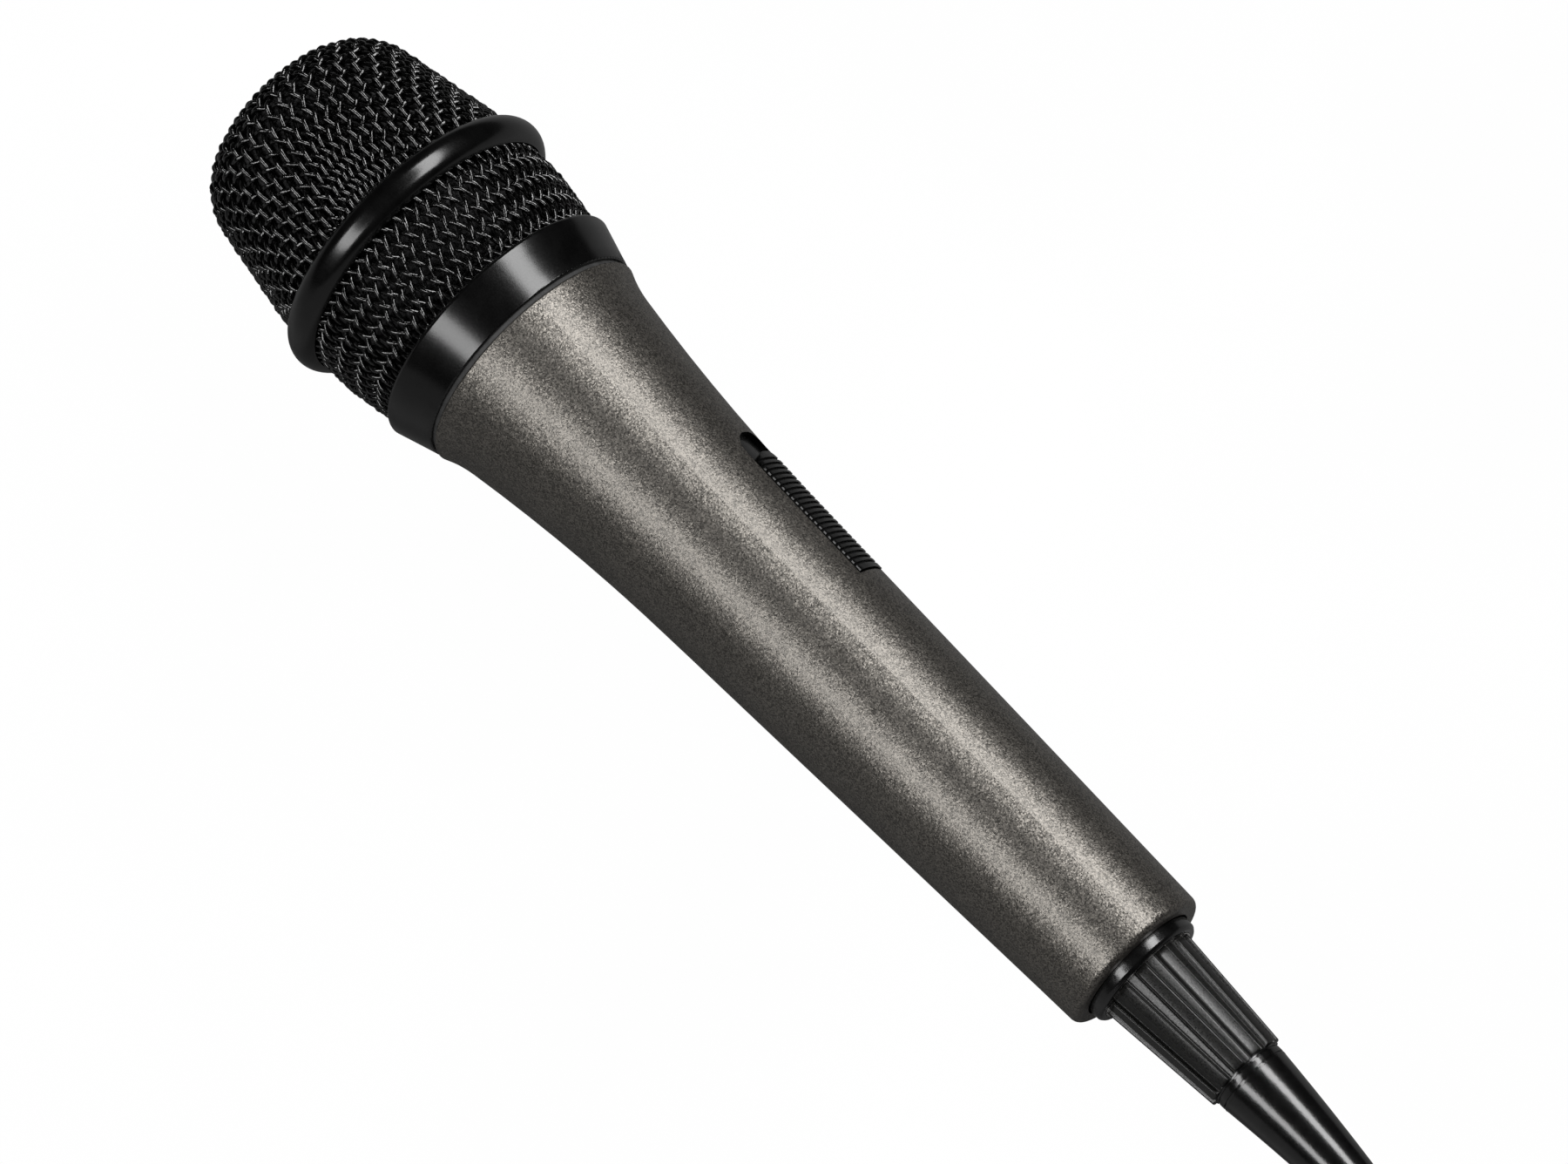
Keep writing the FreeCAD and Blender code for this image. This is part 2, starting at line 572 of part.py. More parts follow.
def switch():
    """The slide switch: ribbed slider, the carrier that fills the slot, and the switch inside."""
    carrier()
    slider()
    lever_low = (d.lever_rear, -d.lever_half, d.lever_low)
    lever_high = (d.lever_front, d.lever_half, d.lever_high)
    node(box("switch_lever", lever_low, lever_high, ROLLED), "switch_lever")
    contact_low = (d.lever_rear - d.contact_reach, -d.contact_half, d.contact_low)
    contact_high = (d.lever_front + d.contact_reach, d.contact_half, d.lever_low)
    node(box("switch_contact", contact_low, contact_high, ROLLED), "switch_contact")
    plate = box("frame_plate", (d.plate_rear, -d.plate_half, d.plate_low),
                (d.plate_front, d.plate_half, d.ledge_low), ROLLED)
    holes_through = fixings("frame_hole", d.plate_low - 0.7, 2.0, d.fixing_clear_r)
    node(less("switch_plate", plate, [lever_slit("frame_slit")] + holes_through), "switch_frame")
    block = box("body_block", (d.case_rear, -d.case_half, d.case_low),
                (d.case_front, d.case_half, d.plate_low), ROLLED)
    hollow = box("body_hollow", (d.case_rear + d.case_wall, -d.case_hollow_half, d.case_hollow_low),
                 (d.case_hollow_front, d.case_hollow_half, d.plate_low + 0.3), ROLLED)
    node(less("body_case", block, [hollow]), "switch_body")
    heads = fixings("switch_head", d.plate_low - d.fixing_head, d.fixing_head, d.fixing_head_r)
    shanks = fixings("switch_shank", d.plate_low, d.fixing_length, d.fixing_r)
    screws = [joined(f"switch_screw_{i}", pair) for i, pair in enumerate(zip(heads, shanks))]
    node(joined("screws", screws, "Part::Compound"), "switch_screws")
    tabs = []
    for x in SWITCH_TABS:
        tabs.append(box(f"switch_tab_{x:.0f}", (x - d.tab_half, -d.tab_skin / 2, d.tab_low),
                        (x + d.tab_half, d.tab_skin / 2, d.case_low), ROLLED))
    node(joined("terminals", tabs, "Part::Compound"), "switch_terminals")


def fixings(name, low, length, radius):
    """The same upright rod at the switch's two screws."""
    upright = Vector(0, 0, 1)
    return [rod(f"{name}_{place}", (d["fixing_" + place], 0, low), length, radius, upright, ROLLED)
            for place in ("rear", "front")]


def lever_slit(name):
    """The slit in which the lever slides."""
    low, high = 8.0, 20.0
    return box(name, (d.lever_rear - d.slit_gap, -d.slit_half, low),
               (d.lever_front + d.slider_travel + d.slit_gap, d.slit_half, high), ROLLED)


def carrier():
    """The black moulding that fills the slot from inside and carries the switch."""
    floor = surface_band("carrier_band", d.carrier_recess, d.carrier_depth)
    insert = common("carrier_insert", floor, slot_plan("carrier_plan", 0.0))
    ledge = box("carrier_ledge", (d.ledge_rear, -d.ledge_half, d.ledge_low),
                (d.ledge_front, d.ledge_half, d.ledge_high), ROLLED)
    riser = box("carrier_riser", (d.riser_rear, -d.riser_half, d.ledge_high),
                (d.riser_front, d.riser_half, d.riser_high), ROLLED)
    solid = joined("carrier_solid", [insert, riser, ledge])
    screw_holes = fixings("carrier_hole", d.ledge_low - 1, 2.0, d.fixing_r)
    node(less("carrier", solid, [lever_slit("carrier_slit")] + screw_holes), "switch_carrier")


def slider():
    """The thumb plate with its cross ribs."""
    skin = surface_band("slider_band", -d.slider_rise, d.slider_skin - d.slider_rise)
    plate = common("slider_plate", skin, slot_plan("slider_plan", d.slider_gap, d.slider_travel))
    shell = surface_band("groove_band", -1.0, d.rib_depth - d.slider_rise)
    low, high = 8.0, 20.0
    cuts = []
    for i in range(SLIDER_GROOVES):
        rear = d.slot_rear + d.rib_first + d.rib_pitch * i
        cuts.append(box(f"rib_groove_{i}", (rear, -low, low), (rear + d.rib_groove, low, high), ROLLED))
    grooves = common("rib_grooves", shell, joined("rib_cuts", cuts))
    node(less("slider", plate, [grooves]), "switch_slider")


# ---------------------------------------------------------------- tail socket and plug

PIN_ANGLES = (90.0, 180.0, 270.0)


def pin_rods(name, start, length, radius):
    made = []
    for angle in PIN_ANGLES:
        y, z = polar(SIZES["pin_circle"], angle)
        made.append(rod(f"{name}_{angle:.0f}", (start, y, z), length, radius))
    return made


def tail_socket():
    """The insert with its three pins, held by a set screw through the handle's wall."""
    blank = turned("insert_blank", [
        (d.insert_rear, 0), (d.insert_rear, d.socket_r), (d.insert_front, d.socket_r),
        (d.insert_front, 0)])
    pin_length = d.insert_front - d.insert_rear
    cuts = pin_rods("insert_hole", d.insert_rear, pin_length, d.pin_r)
    cuts.append(rod("insert_dimple", (d.screw_station, 0, -16.0), 7.5, d.screw_r, Vector(0, 0, 1)))
    node(less("insert", blank, cuts), "tail_insert")
    pins = []
    for angle in PIN_ANGLES:
        y, z = polar(SIZES["pin_circle"], angle)
        shank = rod(f"pin_shank_{angle:.0f}", (d.pin_tip, y, z), d.cup_end - d.pin_tip, d.pin_r)
        nose = doc.addObject("Part::Sphere", f"pin_nose_{angle:.0f}")
        bind(nose, Radius=d.pin_r)
        nose.Placement = LYING.multiply(Placement(Vector(SIZES["pin_tip"], y, z), Rotation()))
        pins.append(joined(f"pin_{angle:.0f}", [shank, nose]))
    node(joined("pins", pins, "Part::Compound"), "xlr_pins")
    node(rod("insert_screw", (d.screw_station, 0, -13.2), 4.7, d.screw_r, Vector(0, 0, 1)),
         "insert_screw")


def plug():
    """The lead's plug: metal sleeve in the socket, flange, ribbed grip, collar and boot."""
    turned_node("plug_sleeve", [
        (d.grip_front, d.sleeve_bore_r), (d.grip_front, d.sleeve_r),
        (d.sleeve_front - 0.5, d.sleeve_r), (d.sleeve_front, d.sleeve_r - 0.5),
        (d.sleeve_front, d.sleeve_bore_r)])
    turned_node("plug_flange", [
        (d.grip_front, d.sleeve_r), (d.grip_front, d.flange_r - 0.5),
        (d.grip_front + 0.6, d.flange_r), (d.flange_front - 0.4, d.flange_r),
        (d.flange_front, d.flange_r - 0.4), (d.flange_front, d.sleeve_r)])
    base = turned("grip_base", [
        (d.plug_insert_rear, d.grip_mouth_r), (d.plug_insert_rear, d.sleeve_bore_r),
        (d.grip_front, d.sleeve_bore_r), (d.grip_front, d.grip_front_r),
        (d.grip_rear, d.grip_rear_r), (d.grip_rear, d.grip_bore_r),
        (d.grip_step, d.grip_bore_r), (d.grip_step, d.grip_mouth_r)])
    envelope = turned("rib_envelope", [
        (d.grip_front, d.grip_mouth_r + d.rib_foot), (d.grip_front, d.rib_front_r),
        (d.grip_rear, d.rib_rear_r), (d.grip_rear, d.grip_bore_r + d.rib_foot)])
    blades = []
    for i in range(GRIP_RIBS // 2):
        angle = GRIP_TURN + 360.0 / GRIP_RIBS * i
        turn = Placement(Vector(), Rotation(Vector(1, 0, 0), angle))
        low = (d.grip_rear, -d.rib_width / 2, -d.flange_r)
        high = (d.grip_front, d.rib_width / 2, d.flange_r)
        blades.append(box(f"rib_blade_{i}", low, high, LYING.multiply(turn)))
    ribs = common("ribs", envelope, joined("rib_star", blades))
    node(joined("grip", [base, ribs]), "plug_grip")
    insert = turned("plug_insert_blank", [
        (d.plug_insert_rear, 0), (d.plug_insert_rear, d.sleeve_bore_r),
        (d.plug_insert_front, d.sleeve_bore_r), (d.plug_insert_front, 0)])
    length = d.plug_insert_front - d.plug_insert_rear
    openings = pin_rods("plug_hole", d.plug_insert_rear, length, d.contact_r)
    node(less("plug_core", insert, openings), "plug_insert")
    rods = pin_rods("socket_rod", d.contact_rear, d.plug_insert_front - d.contact_rear, d.contact_r)
    bores = pin_rods("socket_bore", d.contact_floor, d.plug_insert_front, d.contact_bore_r)
    sockets = [less(f"socket_{i}", outer, [bore]) for i, (outer, bore) in enumerate(zip(rods, bores))]
    node(joined("sockets", sockets, "Part::Compound"), "plug_sockets")
    turned_node("plug_clamp", [
        (d.clamp_rear, d.cord_r), (d.clamp_rear, d.grip_bore_r), (d.clamp_front, d.grip_bore_r),
        (d.clamp_front, d.cord_r)])
    collar_r = d.grip_rear_r - 0.1
    rear = d.plug_collar_rear
    turned_node("plug_collar", [
        (rear, 0), (rear, collar_r), (rear + 0.3, collar_r), (rear + 0.3, collar_r - 0.3),
        (rear + 0.6, collar_r - 0.3), (rear + 0.6, collar_r), (rear + 1.6, collar_r),
        (rear + 1.6, collar_r - 0.3), (rear + 1.9, collar_r - 0.3), (rear + 1.9, collar_r),
        (d.grip_rear, collar_r), (d.grip_rear, 0)])
    shaped("plug_boot", boot_shape(), LYING)


def boot_shape():
    """The tapered strain relief, bent a little sideways as it hangs on the lead."""
    turn = math.radians(SIZES["boot_turn"])
    bend = SIZES["boot_length"] / turn
    rings = []
    count = 6
    for i in range(count + 1):
        part = i / count
        angle = turn * part
        behind = SIZES["plug_collar_rear"] - bend * math.sin(angle)
        place = Vector(behind, bend * (1 - math.cos(angle)), 0)
        ahead = Vector(-math.cos(angle), math.sin(angle), 0)
        radius = SIZES["boot_r"] + (SIZES["boot_end_r"] - SIZES["boot_r"]) * part
        rings.append(Part.Wire([Part.Circle(place, ahead, radius).toShape()]))
    return Part.makeLoft(rings, True, False)


# ---------------------------------------------------------------- inner wires and the lead

def inner_leads():
    """Wires from the capsule to the switch and the tail pins, in the switch's rolled frame."""
    pin = [ROLLED.inverse().multVec(LYING.multVec(
        Vector(SIZES["cup_end"], *polar(SIZES["pin_circle"], angle)))) for angle in PIN_ANGLES]
    hot = [(145.5, 5, 0), (138, 5, 0), (128, 4.2, -1.5), (116, 2, -3.2), (106, 0.4, -3.6),
           (100.4, 0, -1.5), (100, 0, 2.9)]
    cold = [(145.5, -5, 0), (138, -5, 0), (126, -5.6, -1.8), (110, -6.6, -3.5), (90, -7.2, -4),
            (70, -6.8, -3.4), (50, -6.5, -1.5)]
    cold += [(pin[1].x + 10, pin[1].y, pin[1].z), tuple(pin[1])]
    leads = [tube([Vector(*p) for p in route], WIRE_R)[0] for route in (hot, cold)]
    shaped("capsule_leads", Part.makeCompound(leads), ROLLED)
    live = [(88, 0, 2.9), (87.6, 0, -1), (83, 0.6, -3.4), (74, 1.6, -4), (60, 1.8, -3), (45, 1, -1.8)]
    live += [(pin[2].x + 8, pin[2].y, pin[2].z), tuple(pin[2])]
    screen = [(94, 0, 2.9), (93.6, 0.9, 0.6), (89, 3.4, -0.8), (80, 5.2, -1.2), (66, 5.6, -0.6),
              (48, 4.2, 0.8)]
    screen += [(pin[0].x + 9, pin[0].y, pin[0].z), tuple(pin[0])]
    leads = [tube([Vector(*p) for p in route], WIRE_R)[0] for route in (live, screen)]
    shaped("switch_leads", Part.makeCompound(leads), ROLLED)


# the free lead's route on the surface, outside its hank: from the boot to the hank's lowest turn,
# and from its top turn round its far end and down to the boot of the jack plug
LEAD_ROUTE = [(-138.5, 1.5, 8.4), (-148.5, 0.5, 7.3), (-158.9, -3.9, 5.6), (-169.3, -11.0, 4.2),
              (-179.6, -16.2, 3.4), (-190.0, -18.0, 3.3)]
TAIL_ROUTE = [(-234.8, -17.2, 18.1), (-246.6, -12.9, 17.9), (-256.5, -3.6, 16.2),
              (-260.3, 10.0, 12.6), (-257.8, 24.2, 8.6), (-249.7, 36.3, 5.2), (-237.2, 44.6, 3.2),
              (-223.6, 47.6, 3.2), (-211.6, 48.0, 5.2), (-200.0, 48.0, 6.6)]


def folded(name, radius, low, high):
    """The space between two upright posts and round them, at this radius from their middles."""
    upright = Vector(0, 0, 1)
    ends = [rod(f"{name}_{post}", (d[post], d.hank_y, low), high - low, radius, upright, FLAT)
            for post in ("hank_front", "hank_rear")]
    middle = box(f"{name}_middle", (d.hank_rear, d.hank_y - radius, low),
                 (d.hank_front, d.hank_y + radius, high), FLAT)
    return joined(name, ends + [middle])


def lead():
    """The free lead: its two loose stretches, and the hank with its tie."""
    total = 0.0
    for label, route in (("cord_lead", LEAD_ROUTE), ("cord_tail", TAIL_ROUTE)):
        solid, length = tube([Vector(*p) for p in route], SIZES["cord_r"])
        shaped(label, solid)
        total += length
    print(f"  loose stretches {total:.0f}")
    hank = folded("hank_outside", d.hank_r, d.hank_base, d.hank_top)
    hole = folded("hank_hole", d.hank_hole_r, d.hank_base - 1, d.hank_top + 1)
    node(less("hank", hank, [hole]), "cord_hank")
    middle = (d.hank_front + d.hank_rear) / 2
    half = d.tie_width / 2
    low, high = d.hank_y - d.hank_r, d.hank_y + d.hank_r
    skin = d.tie_skin
    outer = box("tie_outer", (middle - half, low - skin, d.hank_base - skin),
                (middle + half, high + skin, d.hank_top + skin), FLAT)
    inner = box("tie_inner", (middle - half - 1, low, d.hank_base), (middle + half + 1, high, d.hank_top),
                FLAT)
    node(less("tie", outer, [inner]), "cord_tie")


def jack():
    """The two-pole jack plug on the far end, lying on its handle."""
    place = Placement(Vector(SIZES["jack_x"], SIZES["jack_y"], SIZES["jack_z"]), Rotation())
    boot_end = d.jack_boot
    handle_end = boot_end + d.jack_handle
    sleeve_end = handle_end + d.jack_sleeve
    band_end = sleeve_end + d.jack_band
    tip_end = band_end + d.jack_tip
    grip_r = d.jack_handle_r
    sleeve_r = d.jack_sleeve_r
    edge = 0.8
    turned_node("jack_boot", [
        (0, 0), (0, d.jack_boot_end_r - edge / 2), (edge / 2, d.jack_boot_end_r),
        (boot_end, d.jack_boot_r), (boot_end, 0)], place)
    groove_rear, groove_front = handle_end - d.jack_groove - 1, handle_end - d.jack_groove
    turned_node("jack_handle", [
        (boot_end, 0), (boot_end, grip_r - 1.2), (boot_end + 1.2, grip_r - 0.2, -1.4),
        (groove_rear, grip_r), (groove_rear, grip_r - 0.5), (groove_front, grip_r - 0.5),
        (groove_front, grip_r), (handle_end - edge, grip_r), (handle_end, grip_r - edge),
        (handle_end, 0)], place)
    flange_end = handle_end + d.jack_flange
    turned_node("jack_sleeve", [
        (handle_end, 0), (handle_end, d.jack_flange_r), (flange_end, d.jack_flange_r),
        (flange_end, sleeve_r), (sleeve_end, sleeve_r), (sleeve_end, 0)], place)
    turned_node("jack_insulator", [
        (sleeve_end, 0), (sleeve_end, sleeve_r), (band_end, sleeve_r), (band_end, 0)], place)
    waist = band_end + d.jack_waist
    turned_node("jack_tip", [
        (band_end, 0), (band_end, sleeve_r), (waist, d.jack_waist_r), (waist + 1.4, sleeve_r - 0.15),
        (waist + 2.0, sleeve_r - 0.1), (tip_end, d.jack_nose_r), (tip_end, 0)], place)


# ---------------------------------------------------------------- the whole part

handle()
neck()
head()
capsule()
switch()
tail_socket()
plug()
inner_leads()
lead()
jack()
doc.recompute()

for item in doc.Objects:
    if "Invalid" in item.State or "Error" in item.State:
        raise RuntimeError(f"{item.Label} ({item.Name}) failed: {item.State}")
for item in nodes:
    shape = item.Shape
    if shape.isNull() or not shape.isValid() or not shape.Solids:
        raise RuntimeError(f"{item.Label} has no valid solid")

os.makedirs("parts", exist_ok=True)
for item in nodes:
    item.Shape.exportStep(f"parts/{item.Label}.step")
    extent = item.Shape.optimalBoundingBox(False)
    print(f"{item.Label}: {len(item.Shape.Solids)} solid, {item.Shape.Volume:.1f} mm3,"
          f" x {extent.XMin:.2f}..{extent.XMax:.2f} y {extent.YMin:.2f}..{extent.YMax:.2f}"
          f" z {extent.ZMin:.2f}..{extent.ZMax:.2f}")
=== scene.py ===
"""Looks of the hand-held microphone and its lead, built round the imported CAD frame.

Blender works in metres. Pieces of the microphone are drawn in its own frame in millimetres, where
a point is (station, side, up) and a station is the distance along the axis from the tail, and are
then laid in the row's frame by MIC. Pieces of the lead are drawn in the row's frame directly.
"""
import json
import math
import random

import bpy
import numpy as np
from mathutils import Matrix, Vector


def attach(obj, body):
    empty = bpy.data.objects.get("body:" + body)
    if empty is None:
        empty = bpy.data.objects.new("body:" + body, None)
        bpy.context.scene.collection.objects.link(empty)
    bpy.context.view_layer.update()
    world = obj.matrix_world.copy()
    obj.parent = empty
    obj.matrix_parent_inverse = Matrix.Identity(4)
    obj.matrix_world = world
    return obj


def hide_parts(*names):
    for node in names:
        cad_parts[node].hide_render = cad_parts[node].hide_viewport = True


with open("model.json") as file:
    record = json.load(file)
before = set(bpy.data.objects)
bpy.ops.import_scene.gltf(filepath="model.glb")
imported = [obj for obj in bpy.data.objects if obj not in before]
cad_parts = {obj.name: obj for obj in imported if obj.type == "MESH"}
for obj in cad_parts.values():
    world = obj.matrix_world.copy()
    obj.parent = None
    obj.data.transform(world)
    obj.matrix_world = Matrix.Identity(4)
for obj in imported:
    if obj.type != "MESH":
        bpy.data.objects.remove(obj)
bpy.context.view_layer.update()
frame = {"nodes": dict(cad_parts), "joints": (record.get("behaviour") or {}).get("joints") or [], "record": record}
MM = 0.001
PIVOT_STATION = 160.0


def mic_frame():
    """The matrix from the microphone's own millimetres to the row's metres."""
    turn = next(joint for joint in frame["joints"] if joint["name"] == "head_turn")
    axis = Vector(turn["axis"]).normalized()
    side = Vector((0.0, 1.0, 0.0))
    up = axis.cross(side)
    origin = Vector(turn["pos_m"]) - axis * PIVOT_STATION * MM
    turning = Matrix((axis, side, up)).transposed().to_4x4()
    return Matrix.Translation(origin) @ turning @ Matrix.Scale(MM, 4)


MIC = mic_frame()
MIC_INVERSE = MIC.inverted()


def polar(radius, angle):
    """Side and up at this radius and angle in radians: 0 is up, and it grows towards -side."""
    return -radius * math.sin(angle), radius * math.cos(angle)


# ---------------------------------------------------------------- materials

def add(tree, kind, inputs=None, **settings):
    """A shader node with its settings, and its inputs set or linked."""
    made = tree.nodes.new("ShaderNode" + kind)
    for key, value in settings.items():
        setattr(made, key, value)
    for key, value in (inputs or {}).items():
        if isinstance(value, bpy.types.NodeSocket):
            tree.links.new(value, made.inputs[key])
        else:
            made.inputs[key].default_value = value
    return made


def begin(name, **constants):
    """A new material: its tree, its shader with constant sockets set, and object coordinates."""
    material = bpy.data.materials.new(name)
    material.use_nodes = True
    tree = material.node_tree
    shader = tree.nodes["Principled BSDF"]
    for key, value in constants.items():
        shader.inputs[key.replace("_", " ")].default_value = value
    place = add(tree, "TexCoord").outputs["Object"]
    return material, tree, shader, place


def stretched(tree, place, along):
    """Coordinates in the microphone's frame, squeezed along its axis by this factor."""
    turn = MIC_INVERSE.to_euler()
    turned = add(tree, "Mapping", {"Vector": place, "Rotation": turn})
    return add(tree, "Mapping", {
        "Vector": turned.outputs["Vector"], "Scale": (along, 1.0, 1.0)}).outputs["Vector"]


def noise(tree, place, size, detail=3.0, roughness=0.55):
    """Noise whose features are about this many millimetres."""
    return add(tree, "TexNoise", {
        "Vector": place, "Scale": 1.0 / (size * MM), "Detail": detail,
        "Roughness": roughness}).outputs["Fac"]


def ramp(tree, value, low, high, start=0.35, end=0.65):
    """A colour from low to high as value goes from start to end."""
    made = add(tree, "ValToRGB", {"Fac": value})
    stops = made.color_ramp.elements
    stops[0].position, stops[1].position = start, end
    stops[0].color, stops[1].color = (*low, 1.0), (*high, 1.0)
    return made.outputs["Color"]


def spread(tree, value, low, high, start=0.35, end=0.65):
    """A number from low to high as value goes from start to end."""
    return add(tree, "MapRange", {
        "Value": value, "From Min": start, "From Max": end, "To Min": low,
        "To Max": high}).outputs["Result"]


def bumped(tree, height, depth):
    """A normal for a height map of this depth in millimetres."""
    return add(tree, "Bump", {
        "Height": height, "Distance": depth * MM, "Strength": 1.0}).outputs["Normal"]


def mottled(name, dark, light, patch, grain, depth, roughness, squeeze=None, **constants):
    """Colour in soft patches, with a finer grain in its roughness and height."""
    material, tree, shader, place = begin(name, **constants)
    if squeeze:
        place = stretched(tree, place, squeeze)
    tree.links.new(ramp(tree, noise(tree, place, patch), dark, light), shader.inputs["Base Color"])
    fine = noise(tree, place, grain)
    tree.links.new(spread(tree, fine, *roughness), shader.inputs["Roughness"])
    tree.links.new(bumped(tree, fine, depth), shader.inputs["Normal"])
    return material


SLOT_ROLL = math.radians(52.4)         # polar angle of the switch's slot in the handle
SLOT_REAR = 76.9
SLOT_FRONT = 109.0
SLOT_HALF = 4.7
SLOT_CORNER = 3.8                      # radius of its corners in front
SLOT_MARGIN = (0.02, 0.08)             # how far past its outline the painted shade ends and the paint's own colour begins
SLOT_FADE = 0.06                       # between the two
SLOT_SHADE = (0.012, 0.012, 0.012)     # painted shade: what the paint's colour is multiplied by on the slot's walls, darkening them as shade in the recess
FLAKE = 0.2                            # size of a flake
FLAKE_LEAN = 0.24                      # how far a flake's normal may lean


def slot_wall_shade(tree, place):
    """A colour to multiply by: white on the outside, and near-black on the walls of the slot, which paints shade
    into the recess.
    """
    rolled = Matrix.Rotation(-SLOT_ROLL, 4, "X") @ MIC_INVERSE
    spots = []
    for row in rolled[:3]:
        along = add(tree, "VectorMath", {0: place, 1: row[:3]}, operation="DOT_PRODUCT")
        spots.append(add(tree, "Math", {
            0: along.outputs["Value"], 1: row[3]}, operation="ADD").outputs[0])
    station, side, up = spots
    aside = add(tree, "Math", {0: side}, operation="ABSOLUTE").outputs[0]
    starts = (station, SLOT_FRONT - SLOT_CORNER), (aside, SLOT_HALF - SLOT_CORNER)
    past = [add(tree, "Math", {0: spot, 1: start}, operation="SUBTRACT").outputs[0]
            for spot, start in starts]
    past = [add(tree, "Math", {0: gap, 1: 0.0}, operation="MAXIMUM").outputs[0] for gap in past]
    reach = add(tree, "VectorMath", {
        0: add(tree, "CombineXYZ", {"X": past[0], "Y": past[1]}).outputs[0]}, operation="LENGTH")
    edges = [SLOT_CORNER + margin for margin in SLOT_MARGIN]
    inside = spread(tree, reach.outputs["Value"], 1.0, 0.0, *edges)
    for spot, start in ((station, SLOT_REAR - SLOT_MARGIN[1]), (up, 0.0)):
        beyond = spread(tree, spot, 0.0, 1.0, start, start + SLOT_FADE)
        inside = add(tree, "Math", {0: inside, 1: beyond}, operation="MULTIPLY").outputs[0]
    return ramp(tree, inside, (1.0, 1.0, 1.0), SLOT_SHADE, 0.0, 1.0)


def flake_paint(name):
    """Dark gunmetal paint: a metallic base with flakes that each lean their own way, darkened
    on the walls of the switch's slot as painted shade."""
    material, tree, shader, place = begin(
        name, Metallic=0.88, Coat_Weight=0.08, Coat_Roughness=0.3)
    flakes = add(tree, "TexVoronoi", {"Vector": place, "Scale": 1.0 / (FLAKE * MM)})
    lean = add(tree, "VectorMath", {
        0: flakes.outputs["Color"], 1: (0.5, 0.5, 0.5)}, operation="SUBTRACT")
    lean = add(tree, "VectorMath", {0: lean.outputs[0], "Scale": FLAKE_LEAN}, operation="SCALE")
    normal = add(tree, "NewGeometry").outputs["Normal"]
    normal = add(tree, "VectorMath", {0: normal, 1: lean.outputs[0]}, operation="ADD")
    normal = add(tree, "VectorMath", {0: normal.outputs[0]}, operation="NORMALIZE").outputs[0]
    shades = add(tree, "SeparateColor", {"Color": flakes.outputs["Color"]}).outputs["Red"]
    grain = ramp(tree, shades, (0.054, 0.0508, 0.046), (0.18, 0.167, 0.15), 0.1, 1.0)
    cloud = ramp(tree, noise(tree, place, 9.0), (0.92, 0.92, 0.92), (1.0, 1.0, 1.0))
    colour = grain
    # the cloud is the paint's own uneven tone; the second multiplier is painted shade on the slot's walls
    for shade in (cloud, slot_wall_shade(tree, place)):
        colour = add(tree, "Mix", {
            0: 1.0, 6: colour, 7: shade}, data_type="RGBA", blend_type="MULTIPLY").outputs[2]
    tree.links.new(colour, shader.inputs["Base Color"])
    tree.links.new(spread(tree, shades, 0.37, 0.43, 0.0, 1.0), shader.inputs["Roughness"])
    tree.links.new(normal, shader.inputs["Normal"])
    return material


WAVE = 0.314                           # scale of a wave texture whose bands are 1 apart


def woven_cloth(name, dark, light, thread, roughness):
    """A fine plain weave, with painted shade in the gaps between its threads."""
    material, tree, shader, place = begin(name, Sheen_Weight=0.25)
    waves = [add(tree, "TexWave", {
        "Vector": place, "Scale": WAVE / (thread * MM), "Distortion": 0.4},
        wave_type="BANDS", bands_direction=way).outputs["Fac"] for way in ("X", "Y")]
    cross = add(tree, "Math", {0: waves[0], 1: waves[1]}, operation="MULTIPLY").outputs[0]
    # painted shade: darker where the height is low between threads, lighter on the crossings
    tree.links.new(ramp(tree, cross, dark, light, 0.05, 0.8), shader.inputs["Base Color"])
    tree.links.new(spread(tree, cross, *roughness), shader.inputs["Roughness"])
    tree.links.new(bumped(tree, cross, thread * 0.4), shader.inputs["Normal"])
    return material


def open_foam(name):
    """Open-cell foam: lighter walls, and pores painted darker as the shade in their depth."""
    material, tree, shader, place = begin(name)
    cells = add(tree, "TexVoronoi", {
        "Vector": place, "Scale": 1.0 / (0.9 * MM)}, feature="DISTANCE_TO_EDGE").outputs["Distance"]
    # painted shade: the colour darkens towards each pore's middle, where the bump sinks
    tree.links.new(ramp(tree, cells, (0.02, 0.02, 0.021), (0.002, 0.002, 0.002), 0.02, 0.3),
                   shader.inputs["Base Color"])
    tree.links.new(spread(tree, cells, 0.75, 1.0, 0.0, 0.3), shader.inputs["Roughness"])
    depth = spread(tree, cells, 1.0, 0.0, 0.0, 0.3)
    tree.links.new(bumped(tree, depth, 0.4), shader.inputs["Normal"])
    return material


def wound_wire(name):
    """The voice coil's turns of enamelled copper, with painted shade in the grooves between them."""
    material, tree, shader, place = begin(name, Metallic=1.0)
    turns = add(tree, "TexWave", {
        "Vector": stretched(tree, place, 1.0), "Scale": WAVE / (0.25 * MM)},
        bands_direction="X").outputs["Fac"]
    # painted shade: the copper is darker in the grooves between turns, where the bump is low
    tree.links.new(ramp(tree, turns, (0.2, 0.06, 0.025), (0.75, 0.32, 0.15), 0.1, 0.9),
                   shader.inputs["Base Color"])
    tree.links.new(spread(tree, turns, 0.25, 0.4), shader.inputs["Roughness"])
    tree.links.new(bumped(tree, turns, 0.06), shader.inputs["Normal"])
    return material


